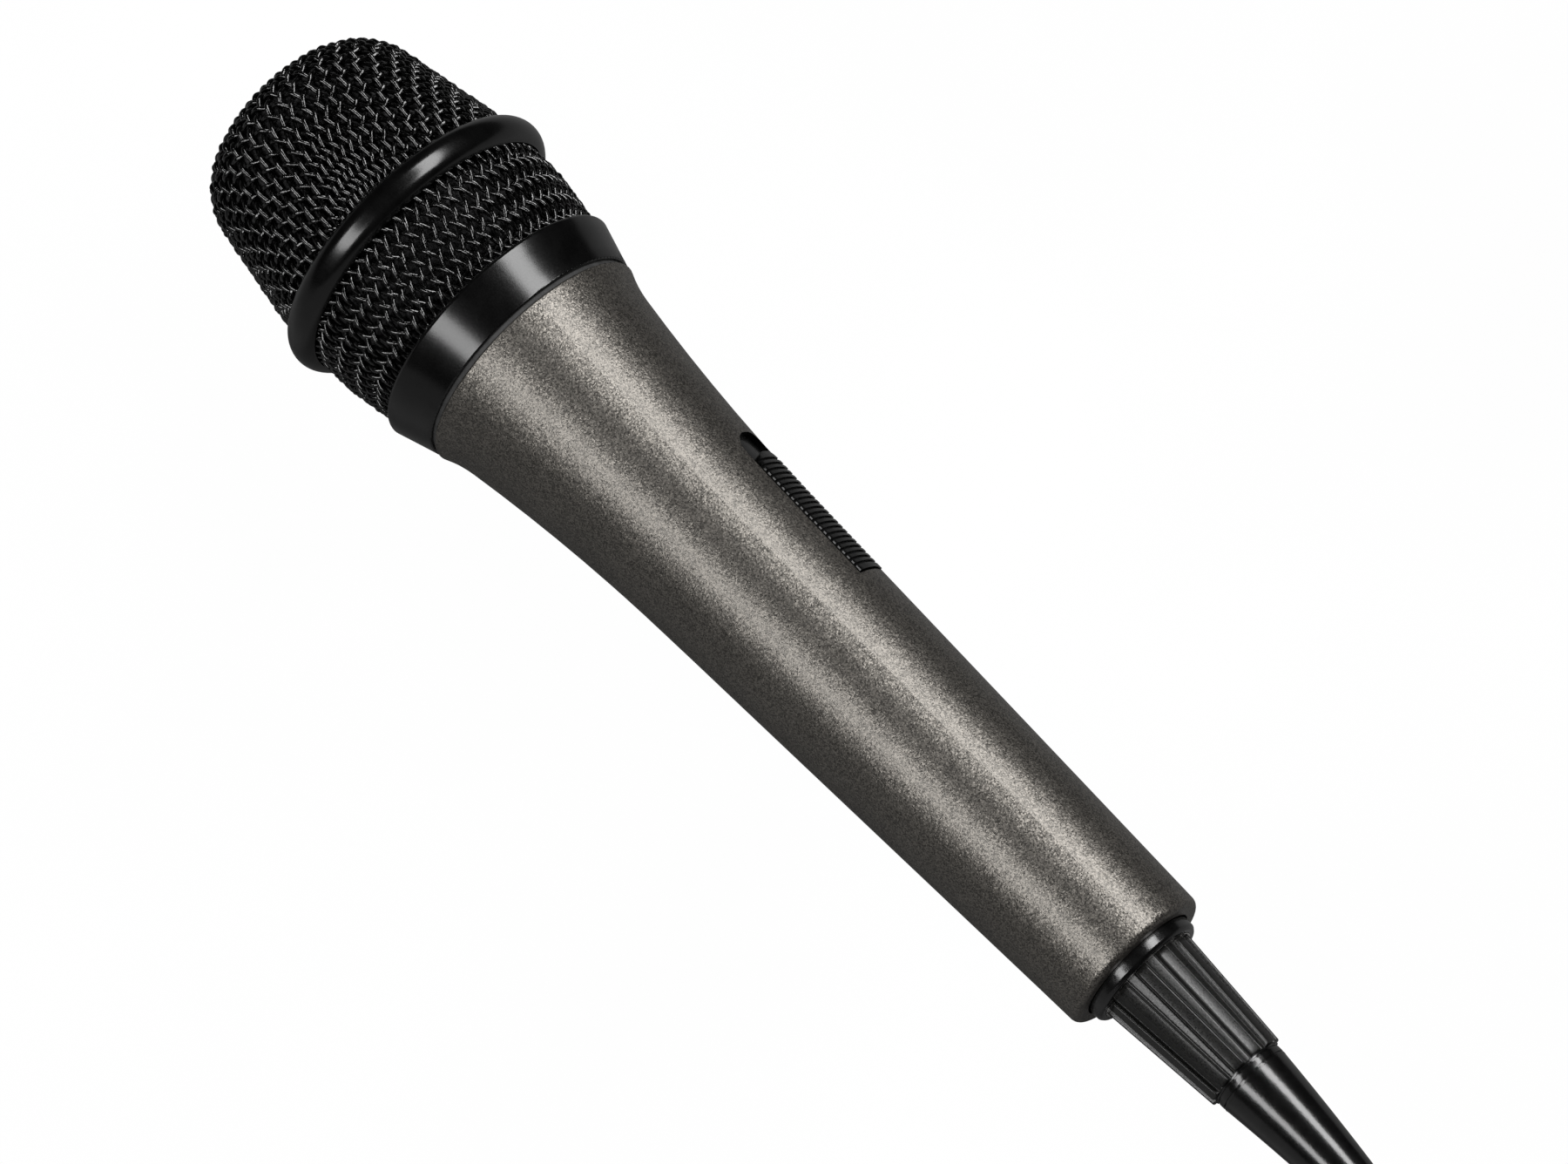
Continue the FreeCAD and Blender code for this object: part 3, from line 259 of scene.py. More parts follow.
def floor_surface(name):
    """A pale studio floor with the faintest cloud in it: it glows white where it is seen, and
    gives the object only a dim reflection."""
    material, tree, shader, place = begin(name, Specular_IOR_Level=0.05)
    cloud = noise(tree, place, 120.0)
    tree.links.new(ramp(tree, cloud, (0.14, 0.14, 0.14), (0.16, 0.16, 0.16)),
                   shader.inputs["Base Color"])
    tree.links.new(spread(tree, cloud, 0.8, 0.9), shader.inputs["Roughness"])
    glow = add(tree, "Emission", {"Color": ramp(tree, cloud, (0.99,) * 3, (1.0,) * 3)})
    seen = add(tree, "LightPath").outputs["Is Camera Ray"]
    both = add(tree, "MixShader", {0: seen, 1: shader.outputs[0], 2: glow.outputs[0]})
    tree.links.new(both.outputs[0], tree.nodes["Material Output"].inputs["Surface"])
    return material


MATERIALS = {
    "handle_paint": flake_paint("gunmetal_paint"),
    "black_metal": mottled(
        "satin_black", (0.0008, 0.0008, 0.0008), (0.0018, 0.0018, 0.0018), 3.0, 0.25, 0.004,
        (0.17, 0.22), Specular_IOR_Level=0.42),
    "mesh_wire": mottled(
        "wire_black", (0.0004, 0.0004, 0.0004), (0.0012, 0.0012, 0.0012), 1.5, 0.9, 0.14,
        (0.05, 0.2), Specular_IOR_Level=0.6),
    "foam": open_foam("liner_foam"),
    "bare_alloy": mottled(
        "turned_alloy", (0.42, 0.42, 0.43), (0.62, 0.62, 0.63), 0.6, 0.12, 0.012, (0.22, 0.38),
        squeeze=12.0, Metallic=1.0),
    "soft_rubber": mottled(
        "matt_rubber", (0.012, 0.012, 0.012), (0.026, 0.026, 0.026), 2.0, 0.3, 0.03, (0.7, 0.85)),
    "capsule_plastic": mottled(
        "moulded_black", (0.02, 0.02, 0.022), (0.036, 0.036, 0.038), 4.0, 0.35, 0.02, (0.42, 0.55)),
    "steel": mottled(
        "plated_steel", (0.4, 0.4, 0.41), (0.58, 0.58, 0.57), 1.2, 0.15, 0.008, (0.24, 0.4),
        Metallic=1.0),
    "magnet": mottled(
        "plated_magnet", (0.36, 0.36, 0.38), (0.48, 0.48, 0.5), 2.0, 0.4, 0.01, (0.15, 0.28),
        Metallic=1.0),
    "screen_cloth": woven_cloth("silk_screen", (0.015, 0.015, 0.016), (0.09, 0.09, 0.095), 0.2,
                                (0.6, 0.8)),
    "contact_metal": mottled(
        "plated_contacts", (0.55, 0.42, 0.2), (0.78, 0.63, 0.34), 1.0, 0.2, 0.006, (0.2, 0.34),
        Metallic=1.0),
    "red_insulation": mottled(
        "red_wire", (0.32, 0.02, 0.012), (0.5, 0.035, 0.02), 2.5, 0.3, 0.02, (0.35, 0.5)),
    "white_insulation": mottled(
        "white_wire", (0.6, 0.6, 0.57), (0.75, 0.75, 0.72), 2.5, 0.3, 0.02, (0.35, 0.5)),
    "switch_plastic": mottled(
        "switch_black", (0.001, 0.001, 0.001), (0.0025, 0.0025, 0.0025), 2.0, 0.2, 0.006,
        (0.2, 0.3), Specular_IOR_Level=0.3),
    "insulator": mottled(
        "black_nylon", (0.015, 0.015, 0.015), (0.03, 0.03, 0.03), 2.5, 0.3, 0.015, (0.4, 0.55)),
    "film": mottled(
        "polyester_film", (0.5, 0.42, 0.25), (0.66, 0.56, 0.36), 3.0, 0.8, 0.01, (0.08, 0.16),
        Coat_Weight=0.5),
    "copper": wound_wire("coil_copper"),
    "nickel": mottled(
        "nickel_plate", (0.5, 0.49, 0.475), (0.6, 0.59, 0.57), 3.0, 0.25, 0.001, (0.2, 0.28),
        Metallic=1.0),
    "plug_plastic": mottled(
        "plug_black", (0.002, 0.002, 0.002), (0.006, 0.006, 0.0052), 0.5, 0.25, 0.02,
        (0.26, 0.4), Specular_IOR_Level=0.42),
    "boot_vinyl": mottled(
        "boot_black", (0.001, 0.001, 0.001), (0.003, 0.003, 0.003), 2.0, 0.2, 0.01,
        (0.15, 0.22), Specular_IOR_Level=0.55),
    "cord_vinyl": mottled(
        "cord_black", (0.005, 0.005, 0.005), (0.009, 0.009, 0.009), 4.0, 0.35, 0.015,
        (0.34, 0.46), Specular_IOR_Level=0.4),
    "tie_fabric": woven_cloth("strap_weave", (0.005, 0.005, 0.006), (0.022, 0.022, 0.024), 0.7,
                              (0.75, 0.95)),
}


# ---------------------------------------------------------------- making pieces

def new_object(name, data):
    """A new object in the scene."""
    made = bpy.data.objects.new(name, data)
    bpy.context.scene.collection.objects.link(made)
    return made


def new_piece(name, body, slot, points, faces, replaced):
    """A smooth-shaded mesh from points in metres, which rides a body and stands for CAD nodes."""
    mesh = bpy.data.meshes.new(name)
    mesh.from_pydata(points, [], faces)
    mesh.shade_smooth()
    mesh.materials.append(MATERIALS[slot])
    piece = new_object(name, mesh)
    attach(piece, body)
    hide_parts(*replaced)
    return piece


def add_tube(shape, path, radius, sides):
    """Adds a closed round tube to shape, a pair of lists. path holds (point, surface normal)."""
    points, faces = shape
    first = len(points)
    count = len(path)
    for k, (point, normal) in enumerate(path):
        ahead = path[min(k + 1, count - 1)][0] - path[max(k - 1, 0)][0]
        across = ahead.cross(normal).normalized()
        outwards = across.cross(ahead).normalized()
        for n in range(sides):
            turn = 2 * math.pi * n / sides
            points.append(point + (outwards * math.cos(turn) + across * math.sin(turn)) * radius)
    for k in range(count - 1):
        for n in range(sides):
            here = first + k * sides
            after = (n + 1) % sides
            faces.append((here + n, here + after, here + sides + after, here + sides + n))
    last = first + (count - 1) * sides
    faces.append(tuple(range(first + sides - 1, first - 1, -1)))
    faces.append(tuple(range(last, last + sides)))


def add_loops(shape, loops, closed=True):
    """Adds rings of as many points each, joined in order, and the last to the first if closed.
    If not, its two ends are filled."""
    points, faces = shape
    first = len(points)
    sides = len(loops[0])
    for loop in loops:
        points.extend(loop)
    for k in range(len(loops) if closed else len(loops) - 1):
        here = first + k * sides
        there = first + (k + 1) % len(loops) * sides
        for n in range(sides):
            after = (n + 1) % sides
            faces.append((here + n, there + n, there + after, here + after))
    if not closed:
        last = first + (len(loops) - 1) * sides
        faces.append(tuple(range(first, first + sides)))
        faces.append(tuple(range(last + sides - 1, last - 1, -1)))


# ---------------------------------------------------------------- the woven wire

WIRE = 0.85            # wire diameter
SIDES = 8
STEPS = 6              # points from one crossing to the next
DOME_START = 175.8     # the dome's rim, inside the band
DOME_CENTRE = 186.0    # a station inside the dome, from which all of it can be seen
CELL = 2.5             # from crossing to crossing along a wire
CLOTH_TURN = 26.0      # polar angle of one of the cloth's straight threads at the tip
ROW = 2.2              # from one row of the skirt's crossings to the next, along the axis
ROUND = 66             # wires of each family round the skirt
ASTRAY = 0.16          # how far a crossing may be out of its place, along the surface
SUNK = 0.2             # how far a crossing may be pressed in
STRETCH = 0.5          # 0 for a cloth that only shears, 1 for one that only stretches
DOME_SEED, SKIRT_SEED = 7, 11
SWEEP = math.radians(115.0)            # from the tip round to behind the dome's rim
BESIDE_TIP = 1e-4      # the angle that stands for 0, as many facets meet at the tip itself
RAY_UP = 100.0         # where a ray down to the axis starts
RAY_OUT = 60.0         # where a ray to a centre starts
REACH = 0.4            # to each side of a point when the surface's slope is taken
SKIRT_REACH = 0.5      # the same for the skirt
SKIRT_SAMPLES = 40
SKIRT_INSET = 0.05     # from the skirt's ends to the first and last sample
TINY = 1e-9


def above_axis(node, station):
    """The outside of a CAD node straight above a station of the axis: (station, side, up)."""
    start = MIC @ Vector((station, 0.0, RAY_UP))
    ray = (MIC @ Vector((station, 0.0, 0.0)) - start).normalized()
    hit, where, _, _ = node.ray_cast(start, ray)
    if not hit:
        raise RuntimeError(f"no surface of {node.name} above station {station}")
    return MIC_INVERSE @ where


def measured_outline(node, start, centre_station, count):
    """(station, radius) points of a turned CAD node's outside, from its tip back to start."""
    centre = Vector((centre_station, 0.0, 0.0))
    outline = []
    for k in range(count):
        angle = SWEEP * k / (count - 1) or BESIDE_TIP
        way = Vector((math.cos(angle), 0.0, math.sin(angle)))
        hit, where, _, _ = node.ray_cast(
            MIC @ (centre + way * RAY_OUT), (MIC.to_3x3() @ -way).normalized())
        if not hit:
            break
        local = MIC_INVERSE @ where
        if local.x < start:
            break
        outline.append((local.x, local.z))
    return outline


class Dome:
    """The dome's outside as a surface: a point on it is (a, b), its distance from the tip along
    the surface split along two directions at right angles."""

    def __init__(self, outline):
        self.station = np.array([outline[0][0]] + [p[0] for p in outline])
        self.radius = np.array([0.0] + [p[1] for p in outline])
        steps = np.hypot(np.diff(self.station), np.diff(self.radius))
        self.length = np.concatenate([[0.0], np.cumsum(steps)])

    @property
    def rim(self):
        return self.length[-1]

    def place(self, a, b):
        """The point at (a, b). Past the rim the surface goes straight on."""
        away = math.hypot(a, b)
        station = np.interp(away, self.length, self.station) - max(away - self.rim, 0.0)
        radius = np.interp(away, self.length, self.radius)
        scale = radius / away if away > 0.0 else 1.0
        return np.array([station, a * scale, b * scale])

    def at(self, a, b):
        """The point and the outward normal at (a, b)."""
        away = math.hypot(a, b)
        if away < TINY:
            return Vector(self.place(0.0, 0.0)), Vector((1.0, 0.0, 0.0))
        side, up = a / away, b / away
        ends = max(away - REACH, 0.0), min(away + REACH, self.rim)
        run, rise = (np.diff(np.interp(ends, self.length, values))[0]
                     for values in (self.station, self.radius))
        return Vector(self.place(a, b)), Vector((rise, -run * side, -run * up)).normalized()

    def corner(self, first, second, guess, pitch):
        """The (a, b) that is one pitch from two points of the surface, by Newton's method."""
        def error(spot):
            place = self.place(*spot)
            return np.array([np.linalg.norm(place - end) - pitch for end in (first, second)])

        spot = np.array(guess)
        small = 1e-4
        for _ in range(25):
            now = error(spot)
            slopes = np.array([(error(spot + move) - now) / small
                               for move in (np.array([small, 0.0]), np.array([0.0, small]))]).T
            if abs(np.linalg.det(slopes)) < TINY:
                return None
            step = np.linalg.solve(slopes, -now)
            size = float(np.hypot(*step))
            spot = spot + step * min(1.0, 0.5 * pitch / max(size, 1e-12))
            if size < 1e-7:
                return tuple(spot)
        return None

    def draped(self, pitch, turn):
        """Crossings (i, j) of a square cloth laid over the dome.

        One quarter is found cell by cell from its two straight edges, as if its threads could only
        shear. It is then drawn part of the way, by STRETCH, to a cloth that only stretches, and the
        other quarters are that one turned.
        """
        quarter = {(0, 0): (0.0, 0.0)}
        count = int(self.rim / pitch) + 3
        for k in range(1, count):
            quarter[k, 0] = (k * pitch, 0.0)
            quarter[0, k] = (0.0, k * pitch)
        for i in range(1, 2 * count):
            for j in range(1, 2 * count):
                before = [quarter.get(key) for key in ((i - 1, j), (i, j - 1), (i - 1, j - 1))]
                if None in before or math.hypot(*before[2]) > self.rim + pitch:
                    continue
                (a1, b1), (a2, b2), (a0, b0) = before
                found = self.corner(self.place(a1, b1), self.place(a2, b2),
                                    (a1 + a2 - a0, b1 + b2 - b0), pitch)
                if found:
                    quarter[i, j] = found
        cloth = {}
        cosine, sine = math.cos(turn), math.sin(turn)
        for (i, j), (a, b) in quarter.items():
            a += (i * pitch - a) * STRETCH
            b += (j * pitch - b) * STRETCH
            for _ in range(4):
                cloth[i, j] = (-a * sine - b * cosine, a * cosine - b * sine)
                i, j = -j, i
                a, b = -b, a
        return cloth


def smooth_step(before, start, end, after, part):
    """A point of a Catmull-Rom curve from start to end."""
    squared, cubed = part * part, part ** 3
    weights = (-cubed + 2 * squared - part, 3 * cubed - 5 * squared + 2,
               -3 * cubed + 4 * squared + part, cubed - squared)
    return [sum(w * point[axis] for w, point in zip(weights, (before, start, end, after))) / 2
            for axis in range(len(start))]


def wire_depth(crossing, over):
    """How far the wire's centre lies below the shell's outside: over is 1 for the family that is
    on top at even crossings and -1 for the other."""
    return WIRE - over * WIRE / 2 * math.cos(math.pi * crossing)


def dome_wires():
    """The draped cloth of wire: the two families of threads, each one mesh."""
    outline = measured_outline(frame["nodes"]["grille_dome"], DOME_START, DOME_CENTRE, count=400)
    dome = Dome(outline)
    cloth = dome.draped(CELL, math.radians(CLOTH_TURN))
    chance = random.Random(DOME_SEED)
    knots = {}
    for key in sorted(cloth):
        a, b = (value + chance.uniform(-ASTRAY, ASTRAY) for value in cloth[key])
        knots[key] = (a, b, chance.uniform(0.0, SUNK))
    shapes = ([], []), ([], [])
    for family, over in ((0, 1), (1, -1)):
        lines = {}
        for key in knots:
            lines.setdefault(key[1 - family], []).append(key[family])
        for line in sorted(lines):
            numbers = sorted(lines[line])
            places = [knots[(n, line) if family == 0 else (line, n)] for n in numbers]
            path = []
            for k in range(len(numbers) - 1):
                start, end = places[k], places[k + 1]
                before = places[k - 1] if k else [2 * s - e for s, e in zip(start, end)]
                more = k + 2 < len(places)
                after = places[k + 2] if more else [2 * e - s for s, e in zip(start, end)]
                for step in range(STEPS):
                    part = step / STEPS
                    a, b, sunk = smooth_step(before, start, end, after, part)
                    if math.hypot(a, b) > dome.rim:
                        continue
                    point, normal = dome.at(a, b)
                    depth = wire_depth(numbers[k] + line + part, over) + sunk
                    path.append((point - normal * depth, normal))
            if len(path) > 3:
                add_tube(shapes[family], path, WIRE / 2, SIDES)
    for name, (points, faces) in zip(("dome_warp", "dome_weft"), shapes):
        new_piece(name, "head", "mesh_wire", [MIC @ p for p in points], faces, ["grille_dome"])


def skirt_wires():
    """The skirt's diamond weave: two families of wires that wind opposite ways."""
    node = frame["nodes"]["grille_skirt"]
    stations = [(MIC_INVERSE @ v.co).x for v in node.data.vertices]
    first, last = min(stations), max(stations)
    rows = round((last - first) / ROW)
    row = (last - first) / rows
    inner = last - first - 2 * SKIRT_INSET
    sample = [first + SKIRT_INSET + inner * k / SKIRT_SAMPLES for k in range(SKIRT_SAMPLES + 1)]
    radii = [above_axis(node, station).z for station in sample]
    chance = random.Random(SKIRT_SEED)
    around = 2 * math.pi / ROUND
    knots = {}
    for crossing in range(rows + 1):
        for spot in range(2 * ROUND):
            aside = chance.uniform(-ASTRAY, ASTRAY)
            knots[crossing, spot] = (aside, chance.uniform(-ASTRAY, ASTRAY) / radii[0],
                                     chance.uniform(0.0, SUNK))
    for name, over in (("skirt_warp", 1), ("skirt_weft", -1)):
        shape = [], []
        for wire in range(ROUND):
            path = []
            for k in range(rows * STEPS + 1):
                crossing = k / STEPS
                before = min(k // STEPS, rows - 1)
                part = crossing - before
                ends = [knots[n, (2 * wire + over * n) % (2 * ROUND)] for n in (before, before + 1)]
                part = part * part * (3 - 2 * part)
                aside, turned, sunk = (s + (e - s) * part for s, e in zip(*ends))
                station = first + row * crossing + aside
                angle = around * (wire + over * crossing / 2) + turned
                radius = float(np.interp(station, sample, radii))
                slope = (np.interp(station + SKIRT_REACH, sample, radii)
                         - np.interp(station - SKIRT_REACH, sample, radii))
                side, up = polar(1.0, angle)
                normal = Vector((-slope, side, up)).normalized()
                point = Vector((station, radius * side, radius * up))
                path.append((point - normal * (wire_depth(crossing, over) + sunk), normal))
            add_tube(shape, path, WIRE / 2, SIDES)
        points, faces = shape
        new_piece(name, "head", "mesh_wire", [MIC @ p for p in points], faces, ["grille_skirt"])


dome_wires()
skirt_wires()


# ---------------------------------------------------------------- the lead

CORD = 5.0 * MM
LEAD_ROUTE = [
    (-138.5, 1.5, 8.4), (-148.5, 0.5, 7.3), (-158.9, -3.9, 5.6), (-169.3, -11.0, 4.2),
    (-179.6, -16.2, 3.4)]
TAIL_ROUTE = [
    (-234.8, -17.2, 18.1), (-246.6, -12.9, 17.9), (-256.5, -3.6, 16.2), (-260.3, 10.0, 12.6),
    (-257.8, 24.2, 8.6), (-249.7, 36.3, 5.2), (-237.2, 44.6, 3.2), (-223.6, 47.6, 3.2),
    (-211.6, 48.0, 5.2), (-200.0, 48.0, 6.6)]
HANK_FRONT, HANK_REAR, HANK_Y = -190.0, -226.0, 10.0
HANK_OUTER, HANK_INNER = 28.0, 15.5    # from a post's middle to the outermost and innermost turn
HANK_FLOOR = 3.3                       # height of the lowest layer's centre line
HANK_END = 4                           # the point of a turn at which the hank ends
WAIST = 1.0                            # how far the tie draws the runs in
LAYER = 4.9                            # height of a layer
LAYERS = 4
LAYER_TURNS = 2.5
CLIMB_POINTS = 7
BENDS = 8                              # steps of the half circle round a post
BEND_STEP = math.radians(180.0 / BENDS)


def one_turn():
    """One clockwise turn of the hank: points (x, angle at its post, how far drawn in)."""
    third = (HANK_FRONT - HANK_REAR) / 3
    near, far = math.radians(-90.0), math.radians(90.0)
    turn = [(HANK_FRONT, near, 0.0), (HANK_FRONT - third, near, WAIST),
            (HANK_REAR + third, near, WAIST)]
    turn += [(HANK_REAR, near - BEND_STEP * k, 0.0) for k in range(BENDS + 1)]
    turn += [(HANK_REAR + third, far, WAIST), (HANK_FRONT - third, far, WAIST)]
    turn += [(HANK_FRONT, far - BEND_STEP * k, 0.0) for k in range(BENDS)]
    return turn


def hank_points():
    """The folded turns: each layer spirals in or out, and a short climb leads to the next."""
    turn = one_turn()
    layer_points = round(LAYER_TURNS * len(turn))
    count = LAYERS * layer_points + (LAYERS - 1) * CLIMB_POINTS
    swell = 1.0 / math.cos(BEND_STEP / 2)
    points = []
    while len(points) < count or len(points) % len(turn) != HANK_END:
        layer, inside = divmod(len(points), layer_points + CLIMB_POINTS)
        layer, inside = (layer, inside) if layer < LAYERS else (LAYERS - 1, layer_points)
        across = min(inside / layer_points, 1.0)
        climb = max(inside - layer_points, 0) / CLIMB_POINTS if layer < LAYERS - 1 else 0.0
        if layer % 2:
            across = 1.0 - across
        radius = HANK_OUTER + (HANK_INNER - HANK_OUTER) * across
        height = HANK_FLOOR + LAYER * (layer + climb * climb * (3 - 2 * climb))
        x, angle, drawn = turn[len(points) % len(turn)]
        radius = radius - drawn if drawn else radius * swell
        points.append((x + radius * math.cos(angle), HANK_Y + radius * math.sin(angle), height))
    return points


def lead():
    """The free lead: one smooth line from the boot through its hank to the jack plug's boot."""
    route = LEAD_ROUTE + hank_points() + TAIL_ROUTE
    curve = bpy.data.curves.new("lead", "CURVE")
    curve.dimensions = "3D"
    spline = curve.splines.new("NURBS")
    spline.points.add(len(route) - 1)
    for point, place in zip(spline.points, route):
        point.co = (*(Vector(place) * MM), 1.0)
    spline.order_u = 3
    spline.use_endpoint_u = True
    spline.resolution_u = 4
    curve.bevel_depth = CORD / 2
    curve.bevel_resolution = 4
    curve.use_fill_caps = True
    curve.materials.append(MATERIALS["cord_vinyl"])
    piece = new_object("lead", curve)
    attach(piece, "plug")
    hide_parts("cord_lead", "cord_hank", "cord_tail")


lead()


# ---------------------------------------------------------------- the plug's moulded grip

GRIP_ENDS = (-2.45, -25.0)             # stations of its front and rear
GRIP_VALLEY = (8.3, 6.75)              # radius between the ribs, in front and at the rear
GRIP_CREST = (9.1, 7.45)
GRIP_RIBS = 12
GRIP_TURN = 9.6                        # polar angle of the first rib
GRIP_HALF = 1.0                        # half a rib's width
GRIP_ROUND = 0.32                      # width of the slope at a rib's edge
GRIP_LINE = 0.14                       # depth of the fine line at a rib's foot
GRIP_LINE_OUT = 0.22                   # from the rib's side to the line
GRIP_LINE_WIDE = 0.1
GRIP_EDGE = ((0.0, 0.6), (0.05, 0.85), (0.15, 1.0))   # from an end, and share of a rib's height
GRIP_RINGS = 12                        # spaces between its rings of points
GRIP_BOSS = [   # (station, radius) round the boss and down its bore
    (1.4, 8.49), (1.5, 8.39), (1.5, 7.1), (1.4, 7.0), (-6.0, 7.0), (-6.0, 5.5)]
GRIP_HALF_ACROSS = [0.35, 0.7, 0.85, 0.92, 0.98, 1.04, 1.1, 1.16, 1.24, 1.32, 1.42, 1.6]
GRIP_ACROSS = [-x for x in reversed(GRIP_HALF_ACROSS)] + [0.0] + GRIP_HALF_ACROSS


def grip_ring(station, valley, crest):
    """A ring of the grip's outside: parallel ribs, rounded at the edge, with a line at the foot."""
    loop = []
    for rib in range(GRIP_RIBS):
        middle = math.radians(GRIP_TURN + 360.0 / GRIP_RIBS * rib)
        for across in GRIP_ACROSS:
            inside = (GRIP_HALF + GRIP_ROUND / 2 - abs(across)) / GRIP_ROUND
            inside = min(max(inside, 0.0), 1.0)
            raised = inside * inside * (3 - 2 * inside)
            from_line = (abs(across) - GRIP_HALF - GRIP_LINE_OUT) / GRIP_LINE_WIDE
            foot = GRIP_LINE * math.exp(-from_line ** 2)
            radius = valley - foot + (crest - valley + foot) * raised
            spot = polar(radius, middle + math.asin(across / valley))
            loop.append(MIC @ Vector((station, *spot)))
    return loop


def grip_moulding():
    """The plug's grip: twelve square-ended ribs on a taper, and the boss that holds the plug."""
    front, rear = GRIP_ENDS
    low, low_rear = GRIP_VALLEY
    high, high_rear = GRIP_CREST
    loops = []
    for off, share in GRIP_EDGE:
        loops.append(grip_ring(rear + off, low_rear, low_rear + (high_rear - low_rear) * share))
    for k in range(1, GRIP_RINGS):
        part = k / GRIP_RINGS
        loops.append(grip_ring(rear + (front - rear) * part, low_rear + (low - low_rear) * part,
                               high_rear + (high - high_rear) * part))
    for off, share in reversed(GRIP_EDGE):
        loops.append(grip_ring(front - off, low, low + (high - low) * share))
    for station, radius in [(front, GRIP_BOSS[0][1]), *GRIP_BOSS, (rear, GRIP_BOSS[-1][1])]:
        loops.append(grip_ring(station, radius, radius))
    shape = [], []
    add_loops(shape, loops)
    new_piece("grip_moulding", "plug", "plug_plastic", *shape, ["plug_grip"])


grip_moulding()


# ---------------------------------------------------------------- soft pieces

FOAM_RIM = 157.02
FOAM_MIDDLE = 186.0                    # a station inside it, from which its domed end can be seen
FOAM_STEP = 1.0                        # from ring to ring along its straight part
FOAM_THICK = 3.4
FOAM_PORE = 0.5                        # how deep its outer skin is pitted
FOAM_ROUND = 170                       # points round it
FOAM_HOLE = 0.3                        # least radius of a ring of points
FOAM_SEED = 5
STRAP_X = -208.0
STRAP_HALF = 6.0                       # half its width
STRAP_THICK = 1.1
STRAP_SIDES = (-19.4, 39.4)            # y of its inner skin
STRAP_LEVELS = (0.75, 20.7)            # z of its inner skin
STRAP_CORNER = 5.0
STRAP_CORNER_POINTS = 8
STRAP_DIP = 1.3                        # how far its top sags between the two bundles
STRAP_SPAN = 12.0                      # from the hank's middle to the end of the sag
STRAP_UPPER = 10.0                     # above this height it is the strap's top
STRAP_PRESSED = (4.0, 0.6)             # below this height it is pressed to this share
STRAP_RIB = 0.05                       # height of the weave's cross ribs
STRAP_SELVEDGE = (1.1, 1.15)           # width of the edges, and how much thicker they are
STRAP_SQUARE = (0.35, 0.6)             # how flat the section is across and how full in height
STRAP_STEP = 0.6
STRAP_ROUND = 28                       # points round its section
STRAP_FLAP = (-2.0, 34.0)              # y of the free end and of where it goes under
STRAP_TIP = 3.0                        # radius of the flap's corners


def foam_liner():
    """The windscreen of open-cell foam under the wire: a shell with crumbled outer skin."""
    node = frame["nodes"]["foam_windscreen"]
    outline = measured_outline(node, FOAM_MIDDLE, FOAM_MIDDLE, count=60)
    station = FOAM_MIDDLE - FOAM_STEP
    while station > FOAM_RIM:
        where = above_axis(node, station)
        outline.append((where.x, where.z))
        station -= FOAM_STEP
    chance = random.Random(FOAM_SEED)
    skin, lining = [], []
    for k, (station, radius) in enumerate(outline):
        ahead, behind = outline[min(k + 1, len(outline) - 1)], outline[max(k - 1, 0)]
        along = Vector((ahead[0] - behind[0], ahead[1] - behind[1])).normalized()
        rough, smooth = [], []
        for _ in range(FOAM_ROUND):
            sunk = chance.random() ** 2 * FOAM_PORE
            rough.append((station + along.y * sunk, radius + along.x * sunk))
            smooth.append((station - along.y * FOAM_THICK, radius + along.x * FOAM_THICK))
        skin.append(rough)
        lining.append(smooth)
    loops = []
    for around in skin[1:] + lining[:0:-1]:
        loop = []
        for n, (station, radius) in enumerate(around):
            spot = polar(max(radius, FOAM_HOLE), 2 * math.pi * n / FOAM_ROUND)
            loop.append(MIC @ Vector((station, *spot)))
        loops.append(loop)
    shape = [], []
    add_loops(shape, loops, closed=False)
    piece = new_piece("foam_liner", "head", "foam", *shape, ["foam_windscreen"])


def strap_path():
    """The inner skin of the strap as (y, z) points, from its top round the hank's far side."""
    corner = STRAP_CORNER
    low, high = STRAP_SIDES
    floor_z, top = STRAP_LEVELS
    path = []
    centres = ((high - corner, top - corner, 0), (high - corner, floor_z + corner, 1),
               (low + corner, floor_z + corner, 2), (low + corner, top - corner, 3))
    for y, z, quarter in centres:
        for k in range(STRAP_CORNER_POINTS + 1):
            turn = math.radians(90.0 - 90.0 * quarter - 90.0 * k / STRAP_CORNER_POINTS)
            path.append((y + corner * math.cos(turn), z + corner * math.sin(turn)))
    return path


def evenly(path, step, closed=True):
    """The same line with its points about this far apart."""
    ends = path + path[:1] if closed else path
    spots = np.array(ends)
    reach = np.concatenate([[0.0], np.cumsum(np.hypot(*np.diff(spots, axis=0).T))])
    count = round(reach[-1] / step)
    at = np.linspace(0.0, reach[-1], count + 1)
    line = list(zip(np.interp(at, reach, spots[:, 0]), np.interp(at, reach, spots[:, 1])))
    return line[:-1] if closed else line


